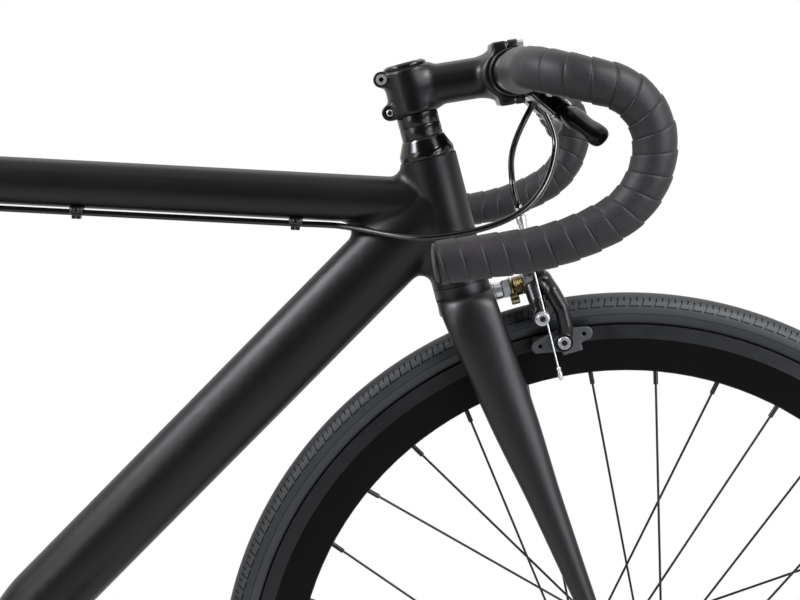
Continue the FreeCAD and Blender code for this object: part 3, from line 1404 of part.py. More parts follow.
cog_first = math.ceil(run_links) - run_links
cog_turn = chain_lean + 2 * math.pi * cog_first / cog_teeth
ring_from = 2 * run_links + cog_links
ring_turn = math.pi - chain_lean + 2 * math.pi * (math.ceil(ring_from) - ring_from) / ring_teeth
cog_centre = rear_axle_at + chain_plane
cog = sprocket(cog_centre, cog_teeth, cog_pitch_radius, cog_turn)
cog = cog.cut(rod(cog_centre - LEFT * sprocket_width, cog_centre + LEFT * sprocket_width,
                  cog_seat_radius + fit))
lock_in = rear_axle_at - LEFT * (chain_line + 0.5 * sprocket_width + fit)
lock_out = lock_in - LEFT * lockring_width
lockring = pipe(lock_in, lock_out, lockring_radius, cog_seat_radius + fit)
for k in range(6):
    d = vec(math.cos(math.pi * k / 3), 0, math.sin(math.pi * k / 3))
    n = vec(-d.z, 0, d.x)
    corner = lock_in + LEFT * overrun + d * (lockring_radius - lockring_notch * 0.6)
    corner = corner - n * (0.5 * lockring_notch)
    lockring = lockring.cut(block(corner, d * lockring_notch, n * lockring_notch,
                                  LEFT * -(lockring_width + 2 * overrun)))
save("rear_cog", [cog, lockring])

ring_centre = bb + chain_plane
ring = sprocket(ring_centre, ring_teeth, ring_pitch_radius, ring_turn)
ring = ring.cut(rod(ring_centre - LEFT * sprocket_width, ring_centre + LEFT * sprocket_width,
                    spider_radius + spider_arm_half))
tabs = []
bolt_spots = []
for k in range(ring_bolt_count):
    q = 2 * math.pi * k / ring_bolt_count + math.pi / ring_bolt_count
    d = vec(math.cos(q), 0, math.sin(q))
    spot = ring_centre + d * spider_radius
    bolt_spots.append((spot, d))
    n = LEFT.cross(d) * ring_tab_radius
    start = spot - LEFT * (0.5 * sprocket_width)
    reach = d * (spider_arm_half + overrun)
    tabs.append(joined([rod(start, start + LEFT * sprocket_width, ring_tab_radius),
                        block(start - n, reach, n * 2, LEFT * sprocket_width)]))
ring = joined([ring] + tabs)
for spot, d in bolt_spots:
    ring = ring.cut(rod(spot - LEFT * sprocket_width, spot + LEFT * sprocket_width, ring_bolt_radius + fit))
save("chainring", [ring])

# Bottom bracket: cartridge with flanged cups in the shell, spindle turning inside
cartridge = rod(bb - LEFT * (shell_half + cup_width), bb + LEFT * (shell_half + cup_width),
                shell_bore - fit)
cups = [cartridge]
for hand in (1, -1):
    cups.append(rod(bb + LEFT * (hand * (shell_half + fit)), bb + LEFT * (hand * (shell_half + cup_width)),
                    cup_radius))
bracket_unit = joined(cups)
bracket_unit = bracket_unit.cut(rod(bb - LEFT * (2 * shell_half), bb + LEFT * (2 * shell_half),
                                    spindle_radius + fit))
save("bottom_bracket_cups", [bracket_unit])
boss_in = chain_line + 0.5 * sprocket_width + fit
crank_out = crank_in + crank_thickness
square_from = boss_in + spider_thickness * 0.5
square_to = crank_out - crank_bolt_depth
spindle_pieces = [rod(bb - LEFT * square_from, bb + LEFT * square_from, spindle_radius)]
for hand in (1, -1):
    corner = bb + vec(-spindle_square, hand * (square_from - fit), -spindle_square)
    spindle_pieces.append(block(corner, FORE * (2 * spindle_square), UP * (2 * spindle_square),
                                LEFT * (hand * (square_to - square_from + fit))))
spindle = joined(spindle_pieces)
save("bottom_bracket_spindle", [spindle])


def crank(hand, forward):
    out = LEFT * hand
    tip = bb + FORE * (forward * crank_length)
    n = UP
    a = bb + out * crank_in
    b = tip + out * crank_in
    arm = prism([a - n * crank_boss_radius * 0.8, b - n * crank_waist, b + n * crank_waist,
                 a + n * crank_boss_radius * 0.8],
                out * crank_thickness)
    pieces = [arm, rod(bb + out * boss_in, bb + out * crank_out, crank_boss_radius),
              rod(tip + out * crank_in, tip + out * crank_out, crank_end_radius)]
    if hand < 0:
        for spot, d in bolt_spots:
            n = LEFT.cross(d) * spider_arm_half
            root = bb + out * boss_in
            pieces.append(prism([root - n * 1.3, root + d * spider_radius - n, root + d * spider_radius + n,
                                 root + n * 1.3],
                                out * spider_thickness))
            pieces.append(rod(root + d * spider_radius, root + d * spider_radius + out * spider_thickness,
                              spider_arm_half))
    body = joined(pieces)
    hole = block(bb + vec(-spindle_square - fit, 0, -spindle_square - fit),
                 vec(2 * (spindle_square + fit), 0, 0),
                 vec(0, 0, 2 * (spindle_square + fit)), out * (crank_out + overrun))
    body = body.cut(hole).cut(rod(bb, bb + out * (square_from + fit), spindle_radius + fit))
    body = body.cut(rod(bb + out * (square_to + fit), bb + out * (crank_out + overrun),
                        crank_bolt_radius + fit))
    body = body.cut(rod(tip, tip + out * (crank_out + overrun), pedal_axle_radius + fit))
    if hand < 0:
        for spot, d in bolt_spots:
            body = body.cut(rod(spot, spot + out * chain_line, ring_bolt_radius + fit))
    return body


save("right_crank", [crank(-1, 1)])
save("left_crank", [crank(1, -1)])
crank_bolts = []
for hand in (1, -1):
    out = LEFT * hand
    start = bb + out * (square_to + 2 * fit)
    bolt = rod(start, start + out * (crank_bolt_depth - 2 * fit), crank_bolt_radius)
    crank_bolts.append(bolt.cut(hexagon(start + out * (0.3 * crank_bolt_depth),
                                        start + out * crank_bolt_depth,
                                        crank_bolt_radius * 0.5)))
for spot, d in bolt_spots:
    inner = spot + LEFT * (0.5 * sprocket_width + fit)
    outer = spot - LEFT * (0.5 * sprocket_width + spider_thickness + 2 * fit)
    crank_bolts.append(joined([rod(inner, outer, ring_bolt_radius),
                               rod(inner, inner + LEFT * ring_bolt_cap, ring_bolt_head),
                               rod(outer, outer - LEFT * ring_bolt_cap, ring_bolt_head)]))
save("crank_bolts", crank_bolts)

# Pedals turn on axles screwed into the crank ends
pedal_axles = []
for hand, forward, name in ((-1, 1, "right_pedal"), (1, -1, "left_pedal")):
    out = LEFT * hand
    tip = bb + FORE * (forward * crank_length)
    axle_end = crank_out + pedal_axle_length - overrun * 3
    pedal_axles.append(joined([rod(tip + out * crank_in, tip + out * axle_end, pedal_axle_radius),
                               rod(tip + out * (crank_out + fit),
                                   tip + out * (crank_out + 0.5 * pedal_start),
                                   pedal_axle_radius * 1.6)]))
    start = crank_out + pedal_start
    barrel = rod(tip + out * start, tip + out * (start + pedal_barrel_length), pedal_barrel_radius)
    corner = tip + out * (start + pedal_in) + vec(-pedal_half_length, 0, -pedal_half_height)
    plate = block(corner, FORE * (2 * pedal_half_length), out * pedal_width, UP * (2 * pedal_half_height))
    for side in (1, -1):
        near = pedal_barrel_radius + pedal_rail * 0.5
        far = pedal_half_length - pedal_rail
        corner = tip + out * (start + pedal_in + pedal_rail) + vec(side * near, 0, -2 * pedal_half_height)
        plate = plate.cut(block(corner, FORE * (side * (far - near)), out * (pedal_width - 2 * pedal_rail),
                                UP * (4 * pedal_half_height)))
    pegs = []
    for along in (1, -1):
        for across in (0.15, 0.5, 0.85):
            at = tip + out * (start + pedal_in + pedal_width * across)
            at = at + FORE * (along * (pedal_half_length - 0.5 * pedal_rail))
            reach = pedal_half_height + pedal_pin_height
            pegs.append(rod(at - UP * reach, at + UP * reach, pedal_pin_radius))
    pedal = joined([barrel, plate] + pegs)
    save(name, [pedal.cut(rod(tip + out * (start - overrun), tip + out * (axle_end + 2 * fit),
                              pedal_axle_radius + fit))])
save("pedal_axles", pedal_axles)

# Seatpost, collar and saddle
post_low = bb + seat_up * post_bottom
post_high = bb + seat_up * post_top
collar_low = seat_end - seat_up * (seat_collar_height * 0.8)
collar_high = seat_end + seat_up * (seat_collar_height * 0.2)
ear_at = (collar_low + collar_high) * 0.5 + seat_back * seat_collar_ear
collar = rod(collar_low, collar_high, seat_collar_radius)
ear = rod(ear_at - LEFT * seat_collar_ear_half, ear_at + LEFT * seat_collar_ear_half,
          seat_collar_ear_radius)
ear_block = block(ear_at - LEFT * seat_collar_ear_half - seat_up * seat_collar_ear_radius,
                  seat_back * -seat_collar_ear,
                  LEFT * (2 * seat_collar_ear_half), seat_up * (2 * seat_collar_ear_radius))
collar = joined([collar, ear, ear_block])
collar = collar.cut(rod(collar_low - seat_up * overrun, seat_end + seat_up * fit, seat_tube_radius + fit))
collar = collar.cut(rod(collar_low, collar_high + seat_up * overrun, post_radius + fit))
collar = collar.cut(block(collar_low - seat_up * overrun - LEFT * (0.5 * stem_slit),
                          seat_back * (2 * seat_collar_ear),
                          LEFT * stem_slit, seat_up * (seat_collar_height + 2 * overrun)))
collar = collar.cut(rod(ear_at - LEFT * (2 * seat_collar_ear_half),
                        ear_at + LEFT * (2 * seat_collar_ear_half),
                        bolt_radius + fit))
head_at = ear_at - LEFT * (seat_collar_ear_half + fit)
collar_bolt = joined([rod(ear_at + LEFT * seat_collar_ear_half, head_at, bolt_radius),
                      rod(head_at, head_at - LEFT * bolt_head_height, bolt_head_radius)])
collar_bolt = collar_bolt.cut(hexagon(head_at - LEFT * (0.4 * bolt_head_height),
                                      head_at - LEFT * (2 * bolt_head_height),
                                      socket_radius))
save("seat_clamp", [collar, collar_bolt])
rail_z = post_high + UP * rail_height
cradle_low = rail_z - UP * clamp_thickness
head_top = cradle_low - UP * fit
post = joined([rod(post_low, post_high, post_radius),
               rod(post_high - LEFT * seat_head_half, post_high + LEFT * seat_head_half, seat_head_radius)])
post = post.cut(block(head_top - vec(2 * seat_head_half, 2 * seat_head_half, 0),
                      FORE * (4 * seat_head_half),
                      LEFT * (4 * seat_head_half), UP * (2 * seat_head_half)))
post = post.cut(rod(post_low - seat_up * overrun, post_high - seat_up * (2 * seat_head_radius),
                    post_radius - tube_wall))
clamp_bolt_at = clamp_half_length - 2 * bolt_radius
clamp_corner = vec(-clamp_half_length, -clamp_half_width, 0)
cradle = block(cradle_low + clamp_corner, FORE * (2 * clamp_half_length), LEFT * (2 * clamp_half_width),
               UP * (clamp_thickness - 0.5 * joint_gap))
top_plate = block(rail_z + UP * (0.5 * joint_gap) + clamp_corner, FORE * (2 * clamp_half_length),
                  LEFT * (2 * clamp_half_width), UP * clamp_thickness)
rails = []
rail_sockets = []
for hand in (1, -1):
    points = [rail_z + vec(rail_front, hand * rail_front_side, rail_front_rise),
              rail_z + vec(rail_run, hand * rail_side, 0),
              rail_z + vec(-rail_run, hand * rail_side, 0),
              rail_z + vec(-rail_rear, hand * rail_rear_side, rail_rear_rise)]
    rail_path = rounded_path(points, (rail_bend, rail_bend))
    rails.append(swept(rail_path, rail_radius))
    rail_sockets.append(swept(rail_path, rail_radius + fit))
    groove = rod(rail_z + vec(-rail_run, hand * rail_side, 0), rail_z + vec(rail_run, hand * rail_side, 0),
                 rail_radius + fit)
    cradle = cradle.cut(groove)
    top_plate = top_plate.cut(groove)
clamp_bolts = []
for run in (1, -1):
    at = rail_z + FORE * (run * clamp_bolt_at)
    hole = rod(at - UP * (4 * clamp_thickness), at + UP * (4 * clamp_thickness), bolt_radius + fit)
    cradle = cradle.cut(hole)
    top_plate = top_plate.cut(hole)
    low_at = at - UP * (clamp_thickness + fit)
    clamp_bolts.append(joined([rod(low_at, at + UP * (clamp_thickness + joint_gap), bolt_radius),
                               rod(low_at, low_at - UP * bolt_head_height, bolt_head_radius)]))
    post = post.cut(rod(low_at - UP * (bolt_head_height + 2 * overrun), low_at + UP * overrun,
                        bolt_head_radius + joint_gap))
save("seatpost", [post])
save("saddle_clamp", [cradle, top_plate] + clamp_bolts)
save("saddle_rails", rails)


def saddle_section(run, half, crown, depth, lift):
    at = post_high + vec(saddle_nose - saddle_length * run, 0, saddle_top + saddle_pad_depth * crown - lift)
    wide = saddle_half_width * half
    right = [at + vec(0, -wide * y, -depth * z) for y, z in saddle_side_shares]
    left = [at + vec(0, wide * y, -depth * z) for y, z in saddle_side_shares]
    curve = Part.BSplineCurve()
    curve.interpolate(list(reversed(right)) + left[1:])
    return Part.Wire([curve.toShape(), Part.LineSegment(left[-1], right[-1]).toShape()])


pad_wires = []
base_wires = []
for run, half, crown, deep in zip(saddle_run_shares, saddle_half_shares, saddle_crown_shares,
                                  saddle_depth_shares):
    pad_wires.append(saddle_section(run, half, crown, saddle_pad_depth * deep, 0))
    base_wires.append(saddle_section(run, half * saddle_base_share, crown, saddle_base_depth,
                                     saddle_pad_depth * deep + fit))
saddle_cover = loft(pad_wires)
saddle_base = loft(base_wires[1:-1]).cut(saddle_cover)
for socket in rail_sockets:
    saddle_base = saddle_base.cut(socket)
save("saddle_cover", [saddle_cover])
save("saddle_base", [saddle_base])

# Brake cables: front housing, rear lead that bends as the bar turns, rear housing held by clips
cable_arm_rise = adjuster_rise - 0.5 * adjuster_length + arm_bar_half + adjuster_length
top_below = top_dir.cross(LEFT)
if top_below.z > 0:
    top_below = top_below * -1
clip_drop = math.sqrt(top_tube_radius ** 2 - housing_side ** 2) + housing_radius + clip_standoff


def under_top(run):
    return top_start + top_dir * run + top_below * clip_drop - LEFT * housing_side


def from_bar(shares):
    return [bar_centre + vec(x, y, z) * cable_span for x, y, z in shares]


def cable_bends(points):
    # Each bend takes the same share of its shorter run, so it is as large as the runs allow.
    bends = []
    for before, here, after in zip(points, points[1:], points[2:]):
        half = 0.5 * (before - here).getAngle(after - here)
        shorter = min((before - here).Length, (after - here).Length)
        bends.append(cable_bend_share * shorter * math.tan(half))
    return bends


def cable(name, points):
    bends = cable_bends(points)
    path = rounded_path(points, bends)
    body = swept(path, housing_radius)
    expected = math.pi * housing_radius ** 2 * path.Length
    print(name, "length", round(path.Length, 1), "volume ratio", round(body.Volume / expected, 4))
    print(name, "bend radii", [round(bend, 1) for bend in bends])
    save(name, [body])


stop_depth = bracket_in + stop_length
right_stop = lever_at(stop_at, 0, stop_depth)
right_exit = lever_at(stop_at, 0, exit_side)
left_stop = lever_at(stop_at, 0, -stop_depth)
left_exit = lever_at(stop_at, 0, -exit_side)
front_adjuster = front_mount + steer_up * cable_arm_rise + steer_fore * wire_out - LEFT * wire_side
front_points = [right_stop, right_exit] + from_bar(front_lead_shares)
front_points += [front_adjuster + steer_up * adjuster_lead, front_adjuster + steer_up * fit]
cable("front_brake_housing", front_points)
clip_start = under_top(clip_spots[0])
rear_lead_points = [left_stop, left_exit] + from_bar(rear_lead_shares)
cable("rear_brake_lead", rear_lead_points + [clip_start - top_dir * clip_lead, clip_start])
rear_adjuster = rear_mount + seat_stay_dir * cable_arm_rise + seat_stay_out * wire_out + LEFT * wire_side
pass_at = top_end - seat_up * rear_pass_drop + LEFT * rear_pass_side + FORE * rear_pass_fore
rear_points = [clip_start + top_dir * fit, under_top(clip_spots[-1]), pass_at,
               rear_adjuster + seat_stay_dir * rear_adjuster_lead, rear_adjuster + seat_stay_dir * fit]
cable("rear_brake_housing", rear_points)
clips = []
for run in clip_spots:
    at = under_top(run) - top_dir * (0.5 * clip_width)
    if run == clip_spots[0]:
        at = under_top(run) + top_dir * joint_gap
    if run == clip_spots[-1]:
        at = under_top(run) - top_dir * clip_inset
    tongue_rise = clip_drop - top_tube_radius + housing_radius
    tongue = block(at - top_below * tongue_rise - LEFT * (housing_radius + clip_wall),
                   top_dir * clip_width, LEFT * (2 * (housing_radius + clip_wall)),
                   top_below * tongue_rise)
    clip = joined([rod(at, at + top_dir * clip_width, housing_radius + clip_wall), tongue])
    clip = clip.cut(rod(at - top_dir * overrun, at + top_dir * (clip_width + overrun),
                        housing_radius + fit))
    clip = clip.cut(rod(top_start, top_end, top_tube_radius + fit))
    clips.append(clip)
save("cable_guides", clips)
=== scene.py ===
import json
import math

import bmesh
import bpy
import numpy as np
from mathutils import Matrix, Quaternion, Vector


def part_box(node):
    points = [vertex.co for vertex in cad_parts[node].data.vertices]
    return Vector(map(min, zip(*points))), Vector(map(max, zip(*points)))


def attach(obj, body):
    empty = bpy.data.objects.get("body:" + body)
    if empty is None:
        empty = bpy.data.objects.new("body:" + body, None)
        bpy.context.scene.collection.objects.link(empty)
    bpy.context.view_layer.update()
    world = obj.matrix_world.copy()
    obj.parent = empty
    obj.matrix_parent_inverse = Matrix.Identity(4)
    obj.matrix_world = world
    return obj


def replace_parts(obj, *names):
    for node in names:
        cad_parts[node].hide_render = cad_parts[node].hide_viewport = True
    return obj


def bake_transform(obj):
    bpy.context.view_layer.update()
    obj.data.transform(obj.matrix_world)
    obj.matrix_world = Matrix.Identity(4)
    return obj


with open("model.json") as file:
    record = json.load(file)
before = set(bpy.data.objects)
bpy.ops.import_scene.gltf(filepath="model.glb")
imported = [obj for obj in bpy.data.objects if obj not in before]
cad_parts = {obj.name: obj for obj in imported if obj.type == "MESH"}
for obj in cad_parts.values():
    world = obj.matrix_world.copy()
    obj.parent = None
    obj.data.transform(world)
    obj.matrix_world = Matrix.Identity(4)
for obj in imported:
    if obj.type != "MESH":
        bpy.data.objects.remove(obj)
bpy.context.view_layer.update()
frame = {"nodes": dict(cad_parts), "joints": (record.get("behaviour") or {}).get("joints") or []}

# The frame is welded aluminium tube, sanded smooth at the joints and sprayed matte black. The fork that
# turns in its head tube is sprayed a little glossier. Both paints have a faint orange-peel relief.
nodes = frame["nodes"]
joints = {joint["name"]: joint for joint in frame["joints"]}
left_hand = Vector((0, 1, 0))
mm = 0.001
patch_size = 60 * mm
tone_stops = (0.35, 0.65)
gloss_stops = (0.3, 0.7)


def linear(code):
    """An sRGB hex colour as linear red, green, blue and alpha."""
    values = []
    for start in (0, 2, 4):
        share = int(code[start:start + 2], 16) / 255
        values.append(share / 12.92 if share <= 0.04045 else ((share + 0.055) / 1.055) ** 2.4)
    return (*values, 1.0)


def add(tree, kind, inputs=None, **settings):
    """Adds a node, with its settings and with a value or a link for each named input."""
    node = tree.nodes.new(kind)
    for name, value in settings.items():
        setattr(node, name, value)
    for name, value in (inputs or {}).items():
        if isinstance(value, bpy.types.NodeSocket):
            tree.links.new(value, node.inputs[name])
        else:
            node.inputs[name].default_value = value
    return node


def surface(name, dark, light, rough, grain, relief, shine=0.5, **shader):
    """A finish whose colour and gloss drift over its grain, a size in mm, with a relief of that height in mm.

    A real grain under about half a millimetre is too fine to show, so it is drawn that coarse or coarser.
    """
    material = bpy.data.materials.new(name)
    material.use_nodes = True
    tree = material.node_tree
    tree.nodes.clear()
    place = add(tree, "ShaderNodeTexCoord").outputs["Object"]
    fine = add(tree, "ShaderNodeTexNoise", {"Vector": place, "Scale": 1 / (grain * mm), "Detail": 3.0})
    broad = add(tree, "ShaderNodeTexNoise", {"Vector": place, "Scale": 1 / patch_size, "Detail": 4.0})
    blend = add(tree, "ShaderNodeMath", {0: fine.outputs["Fac"], 1: broad.outputs["Fac"]}, operation="ADD")
    half = add(tree, "ShaderNodeMath", {0: blend.outputs[0], 1: 0.5}, operation="MULTIPLY").outputs[0]
    tone = add(tree, "ShaderNodeValToRGB", {"Fac": half})
    for edge, stop, code in zip(tone.color_ramp.elements, tone_stops, (dark, light)):
        edge.position = stop
        edge.color = linear(code)
    gloss = add(tree, "ShaderNodeMapRange", {
        "Value": half, "From Min": gloss_stops[0], "From Max": gloss_stops[1],
        "To Min": rough[0], "To Max": rough[1]})
    bump = add(tree, "ShaderNodeBump", {"Height": fine.outputs["Fac"], "Distance": relief * mm})
    principled = add(tree, "ShaderNodeBsdfPrincipled", {
        "Base Color": tone.outputs["Color"], "Roughness": gloss.outputs["Result"],
        "Normal": bump.outputs["Normal"], "Specular IOR Level": shine, **shader})
    principled.name = "finish"
    add(tree, "ShaderNodeOutputMaterial", {"Surface": principled.outputs["BSDF"]})
    return material


def dress(material, *names):
    """Gives CAD nodes one finish all over."""
    for name in names:
        nodes[name].data.materials.clear()
        nodes[name].data.materials.append(material)


# Sprayed matte paint: nearly black, with soft grey highlights that the orange peel breaks up a little.
matte_paint = surface("matte_black_paint", "050506", "09090a", (0.34, 0.42), 1.1, 0.012, 0.26)
# Sprayed satin paint: the same black with brighter highlights.
fork_paint = surface("satin_black_paint", "050506", "0a0a0b", (0.36, 0.42), 1.1, 0.012, 0.36)
dress(matte_paint, "frame")
dress(fork_paint, "fork")

# The headset is a conical cover of turned aluminium over steel bearings, pressed down by a cap. The cover and
# the cap are anodised and polished gloss black, and a tumbler has eased their edges.
weld_gap = 0.002 * mm
sharp_angle = math.radians(38)
cover_edge = 0.45 * mm


def soften(width, *names):
    """Breaks the sharp edges of CAD nodes with a small round, as a file or a tumbler does."""
    for name in names:
        weld = nodes[name].modifiers.new("weld", "WELD")
        weld.merge_threshold = weld_gap
        edge = nodes[name].modifiers.new("edge", "BEVEL")
        edge.width = width
        edge.segments = 2
        edge.limit_method = "ANGLE"
        edge.angle_limit = sharp_angle
        edge.harden_normals = True


# Polished black anodising: deep black with narrow, nearly mirror-like highlights.
gloss_black = surface("gloss_black_anodised", "060607", "0b0b0c", (0.10, 0.18), 3.0, 0.004, 0.4)
# Ground bearing steel: bright grey metal with a fine satin.
bearing_steel = surface("ground_bearing_steel", "8f9295", "b5b8ba", (0.22, 0.34), 0.6, 0.003, Metallic=1.0)
dress(gloss_black, "headset_cover", "top_cap")
dress(bearing_steel, "headset_bearings")
soften(cover_edge, "headset_cover", "top_cap")

# Each wheel has a deep rim of rolled aluminium, anodised black, whose brake tracks are machined and worn
# dark. Black spokes in alloy nipples lace it to a large flange hub, and a butyl tube lies under the tyre.
axle_front = Vector(joints["front_wheel_spin"]["pos_m"])
axle_rear = Vector(joints["rear_wheel_spin"]["pos_m"])
track_low = 304.5 * mm
turning_pitch = 0.5 * mm
turning_depth = 0.004 * mm


def track_finish(name, centre):
    """Machined and worn brake track: dark, with fine lines ringed round the wheel that streak its highlights.

    Real turning lines lie about 0.2 mm apart, too fine to show, so they are drawn half a millimetre apart.
    """
    material = surface(name, "08090a", "121315", (0.3, 0.42), 14.0, 0.006, 0.3)
    tree = material.node_tree
    place = add(tree, "ShaderNodeTexCoord").outputs["Object"]
    out = add(tree, "ShaderNodeVectorMath", {0: place, 1: centre}, operation="SUBTRACT").outputs["Vector"]
    flat = add(tree, "ShaderNodeVectorMath", {0: out, 1: (1, 0, 1)}, operation="MULTIPLY").outputs["Vector"]
    reach = add(tree, "ShaderNodeVectorMath", {0: flat}, operation="LENGTH").outputs["Value"]
    lines = add(tree, "ShaderNodeMath", {0: reach, 1: 2 * math.pi / turning_pitch}, operation="MULTIPLY")
    wave = add(tree, "ShaderNodeMath", {0: lines.outputs[0]}, operation="SINE").outputs[0]
    bump = add(tree, "ShaderNodeBump", {"Height": wave, "Distance": turning_depth})
    tree.links.new(bump.outputs["Normal"], tree.nodes["finish"].inputs["Normal"])
    return material


def dress_part(material, name, test):
    """Gives the material to the faces of one node whose centre passes the test."""
    mesh = nodes[name].data
    mesh.materials.append(material)
    for face in mesh.polygons:
        if test(face.center):
            face.material_index = len(mesh.materials) - 1


# Black anodised rim: dull and very dark, with hardly a highlight.
rim_black = surface("black_anodised_rim", "040405", "080809", (0.34, 0.46), 1.5, 0.006, 0.06)
# Drawn wire under black oxide: thin dark lines with a soft gleam.
black_spoke = surface("black_oxide_spoke", "0c0c0d", "161618", (0.24, 0.36), 1.0, 0.003, 0.3)
# Butyl rubber: dull dark grey.
inner_rubber = surface("butyl_rubber", "141414", "1e1e1e", (0.5, 0.65), 1.2, 0.01)
# Turned and plated steel: grey metal with soft highlights.
axle_steel = surface("plated_axle_steel", "6c6e71", "9a9c9f", (0.22, 0.36), 0.7, 0.006, Metallic=1.0)
# Satin black anodising: an even black with soft, broad highlights.
satin_black = surface("satin_black_anodised", "0a0a0b", "121213", (0.26, 0.36), 0.7, 0.008, 0.32)
for rim, hub in (("front_rim", axle_front), ("rear_rim", axle_rear)):
    dress(rim_black, rim)
    dress_part(track_finish(rim + "_track", hub), rim,
               lambda centre: math.hypot(centre.x - hub.x, centre.z - hub.z) > track_low)
dress(black_spoke, "front_spokes", "rear_spokes")
dress(satin_black, "front_hub_shell", "rear_hub_shell")
dress(inner_rubber, "front_inner_tube", "rear_inner_tube")
dress(axle_steel, "front_axle", "rear_axle")

# The tyres are moulded black rubber with a smooth crown. Each shoulder carries a ring of L-shaped sipes with
# a short slash between them, and a fine moulding line runs round the sidewall. Rows are degrees from the
# crown, and columns are shares of one sipe's pitch.
tyre_radius = 341.0 * mm
section_centre = 327.0 * mm
section_radius = tyre_radius - section_centre
casing_radius = 11.6 * mm
tyre_crease = 40
sipe_count = 200
sipe_depth = 1.2 * mm
line_depth = 0.4 * sipe_depth
sipe_lean = 0.24
stroke_wall = 0.015
long_stroke = (0.06, 0.15)
short_stroke = (0.56, 0.64)
plain_columns = (0.0, 0.36, 0.76)
foot_end = 0.88
foot_rows = (69.0, 72.5)
long_top = 40.0
short_rows = (36.0, 53.0)
line_rows = (96.3, 98.3)
row_wall = 0.5
crown_rows = (0.0, 12.0, 24.0)
shoulder_row = 61.0
side_rows = (84.0, 108.0, 122.0, 136.0)
casing_rows = (136.0, 110.0, 70.0, 30.0)
double_gap = 0.004 * mm


def edge_pair(low, high, wall):
    """Both edges of a cut, each with the top of its wall."""
    return (low - wall, low, high, high + wall)


tread_columns = sorted({*plain_columns, *edge_pair(*long_stroke, stroke_wall),
                        *edge_pair(*short_stroke, stroke_wall), foot_end, foot_end + stroke_wall})
tread_rows = sorted({*crown_rows, shoulder_row, *side_rows, *edge_pair(*short_rows, row_wall),
                     long_top - row_wall, long_top, *edge_pair(*foot_rows, row_wall),
                     *edge_pair(*line_rows, row_wall)})


def sipe(share, row):
    """How deep the tread is cut at a share of the pattern's pitch and an angle from the crown."""
    on_long = long_stroke[0] <= share <= long_stroke[1] and long_top <= row <= foot_rows[1]
    on_foot = long_stroke[0] <= share <= foot_end and foot_rows[0] <= row <= foot_rows[1]
    on_short = short_stroke[0] <= share <= short_stroke[1] and short_rows[0] <= row <= short_rows[1]
    if on_long or on_foot or on_short:
        return sipe_depth
    return line_depth if line_rows[0] <= row <= line_rows[1] else 0.0


def make(name, points, faces, material, body):
    """A new piece from points and faces, smooth shaded, riding on a body unless that is None."""
    mesh = bpy.data.meshes.new(name)
    mesh.from_pydata([tuple(point) for point in points], [], faces)
    work = bmesh.new()
    work.from_mesh(mesh)
    bmesh.ops.remove_doubles(work, verts=work.verts, dist=double_gap)
    bmesh.ops.recalc_face_normals(work, faces=work.faces)
    work.to_mesh(mesh)
    work.free()
    mesh.shade_smooth()
    mesh.materials.append(material)
    piece = bpy.data.objects.new(name, mesh)
    bpy.context.scene.collection.objects.link(piece)
    if body:
        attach(piece, body)
    return piece


def crease(piece, degrees):
    """Keeps the edges sharper than that angle crisp."""
    piece.data.set_sharp_from_angle(angle=math.radians(degrees))
    return piece


def ring_faces(rings, sides, closed):
    """The faces between rings of points, and from the last ring to the first where the run is closed."""
    faces = []
    for ring in range(rings if closed else rings - 1):
        after = (ring + 1) % rings
        for side in range(sides):
            beyond = (side + 1) % sides
            faces.append((ring * sides + side, ring * sides + beyond,
                          after * sides + beyond, after * sides + side))
    return faces


def tyre(name, centre, body):
    """The moulded tyre as one closed section swept round, its sipes cut between the sweep's own lines."""
    section = [(-row, True) for row in reversed(tread_rows)][:-1] + [(row, True) for row in tread_rows]
    section += [(row, False) for row in casing_rows] + [(-row, False) for row in reversed(casing_rows)]
    points = []
    for step in range(sipe_count):
        for share in tread_columns:
            for row, outside in section:
                fall = (abs(row) - short_rows[0]) / (foot_rows[1] - short_rows[0])
                lean = sipe_lean * min(max(fall, 0), 1) ** 2
                turn = 2 * math.pi * (step + share - lean) / sipe_count
                reach = section_radius - sipe(share, abs(row)) if outside else casing_radius
                bow = math.radians(row)
                out = section_centre + reach * math.cos(bow)
                place = Vector((out * math.sin(turn), -reach * math.sin(bow), out * math.cos(turn)))
                points.append(centre + place)
    faces = ring_faces(sipe_count * len(tread_columns), len(section), True)
    return crease(make(name, points, faces, tyre_rubber, body), tyre_crease)


# Moulded tread rubber: soft dark grey, with a dusty grain and a broad sheen on the crown.
tyre_rubber = surface("tyre_tread_rubber", "131517", "212427", (0.46, 0.6), 0.9, 0.02, 0.45)
for name, centre, body in (("front_tyre", axle_front, "front_wheel"),
                           ("rear_tyre", axle_rear, "rear_wheel")):
    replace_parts(tyre(name + "_tread", centre, body), name)

# The stem is forged aluminium, blasted and anodised satin black, clamped on the steerer above two turned
# spacers. Its face plate holds the bar, and socket bolts of plated steel draw both clamps up.
steer_up = Vector(joints["steering_turn"]["axis"]).normalized()
steer_up *= math.copysign(1, steer_up.z)
steer_fore = left_hand.cross(steer_up)
bar_centre = Vector((389.563, 0, 861.142)) * mm
stem_drop = 7.92 * mm
stem_reach = 80.5 * mm
stem_axis_rise = 20.35 * mm
stem_height = 37 * mm
stem_radius = 20 * mm
stem_tube_radius = 16.4 * mm
steerer_hole = 14.36 * mm
ear_rises = (33 * mm, 5.7 * mm)
ear_offset = 21 * mm
ear_radius = 6.4 * mm
ear_half = 11 * mm
slit_half = 0.8 * mm
clamp_hole = 15.98 * mm
clamp_half = 21 * mm
clamp_radius = 22 * mm
clamp_back = 13 * mm
clamp_tall = 25.4 * mm
face_gap = 1.2 * mm
face_edge = 0.8 * mm
face_bolt_high = 20.4 * mm
face_bolt_side = 14 * mm
forge_round = 3 * mm
ear_round = 0.25 * forge_round
neck_fillet = 11 * mm
steerer_fillet = 6.5 * mm
ear_fillet = 5 * mm
bore_edge = 0.8 * mm
no_fillet = 1e-9
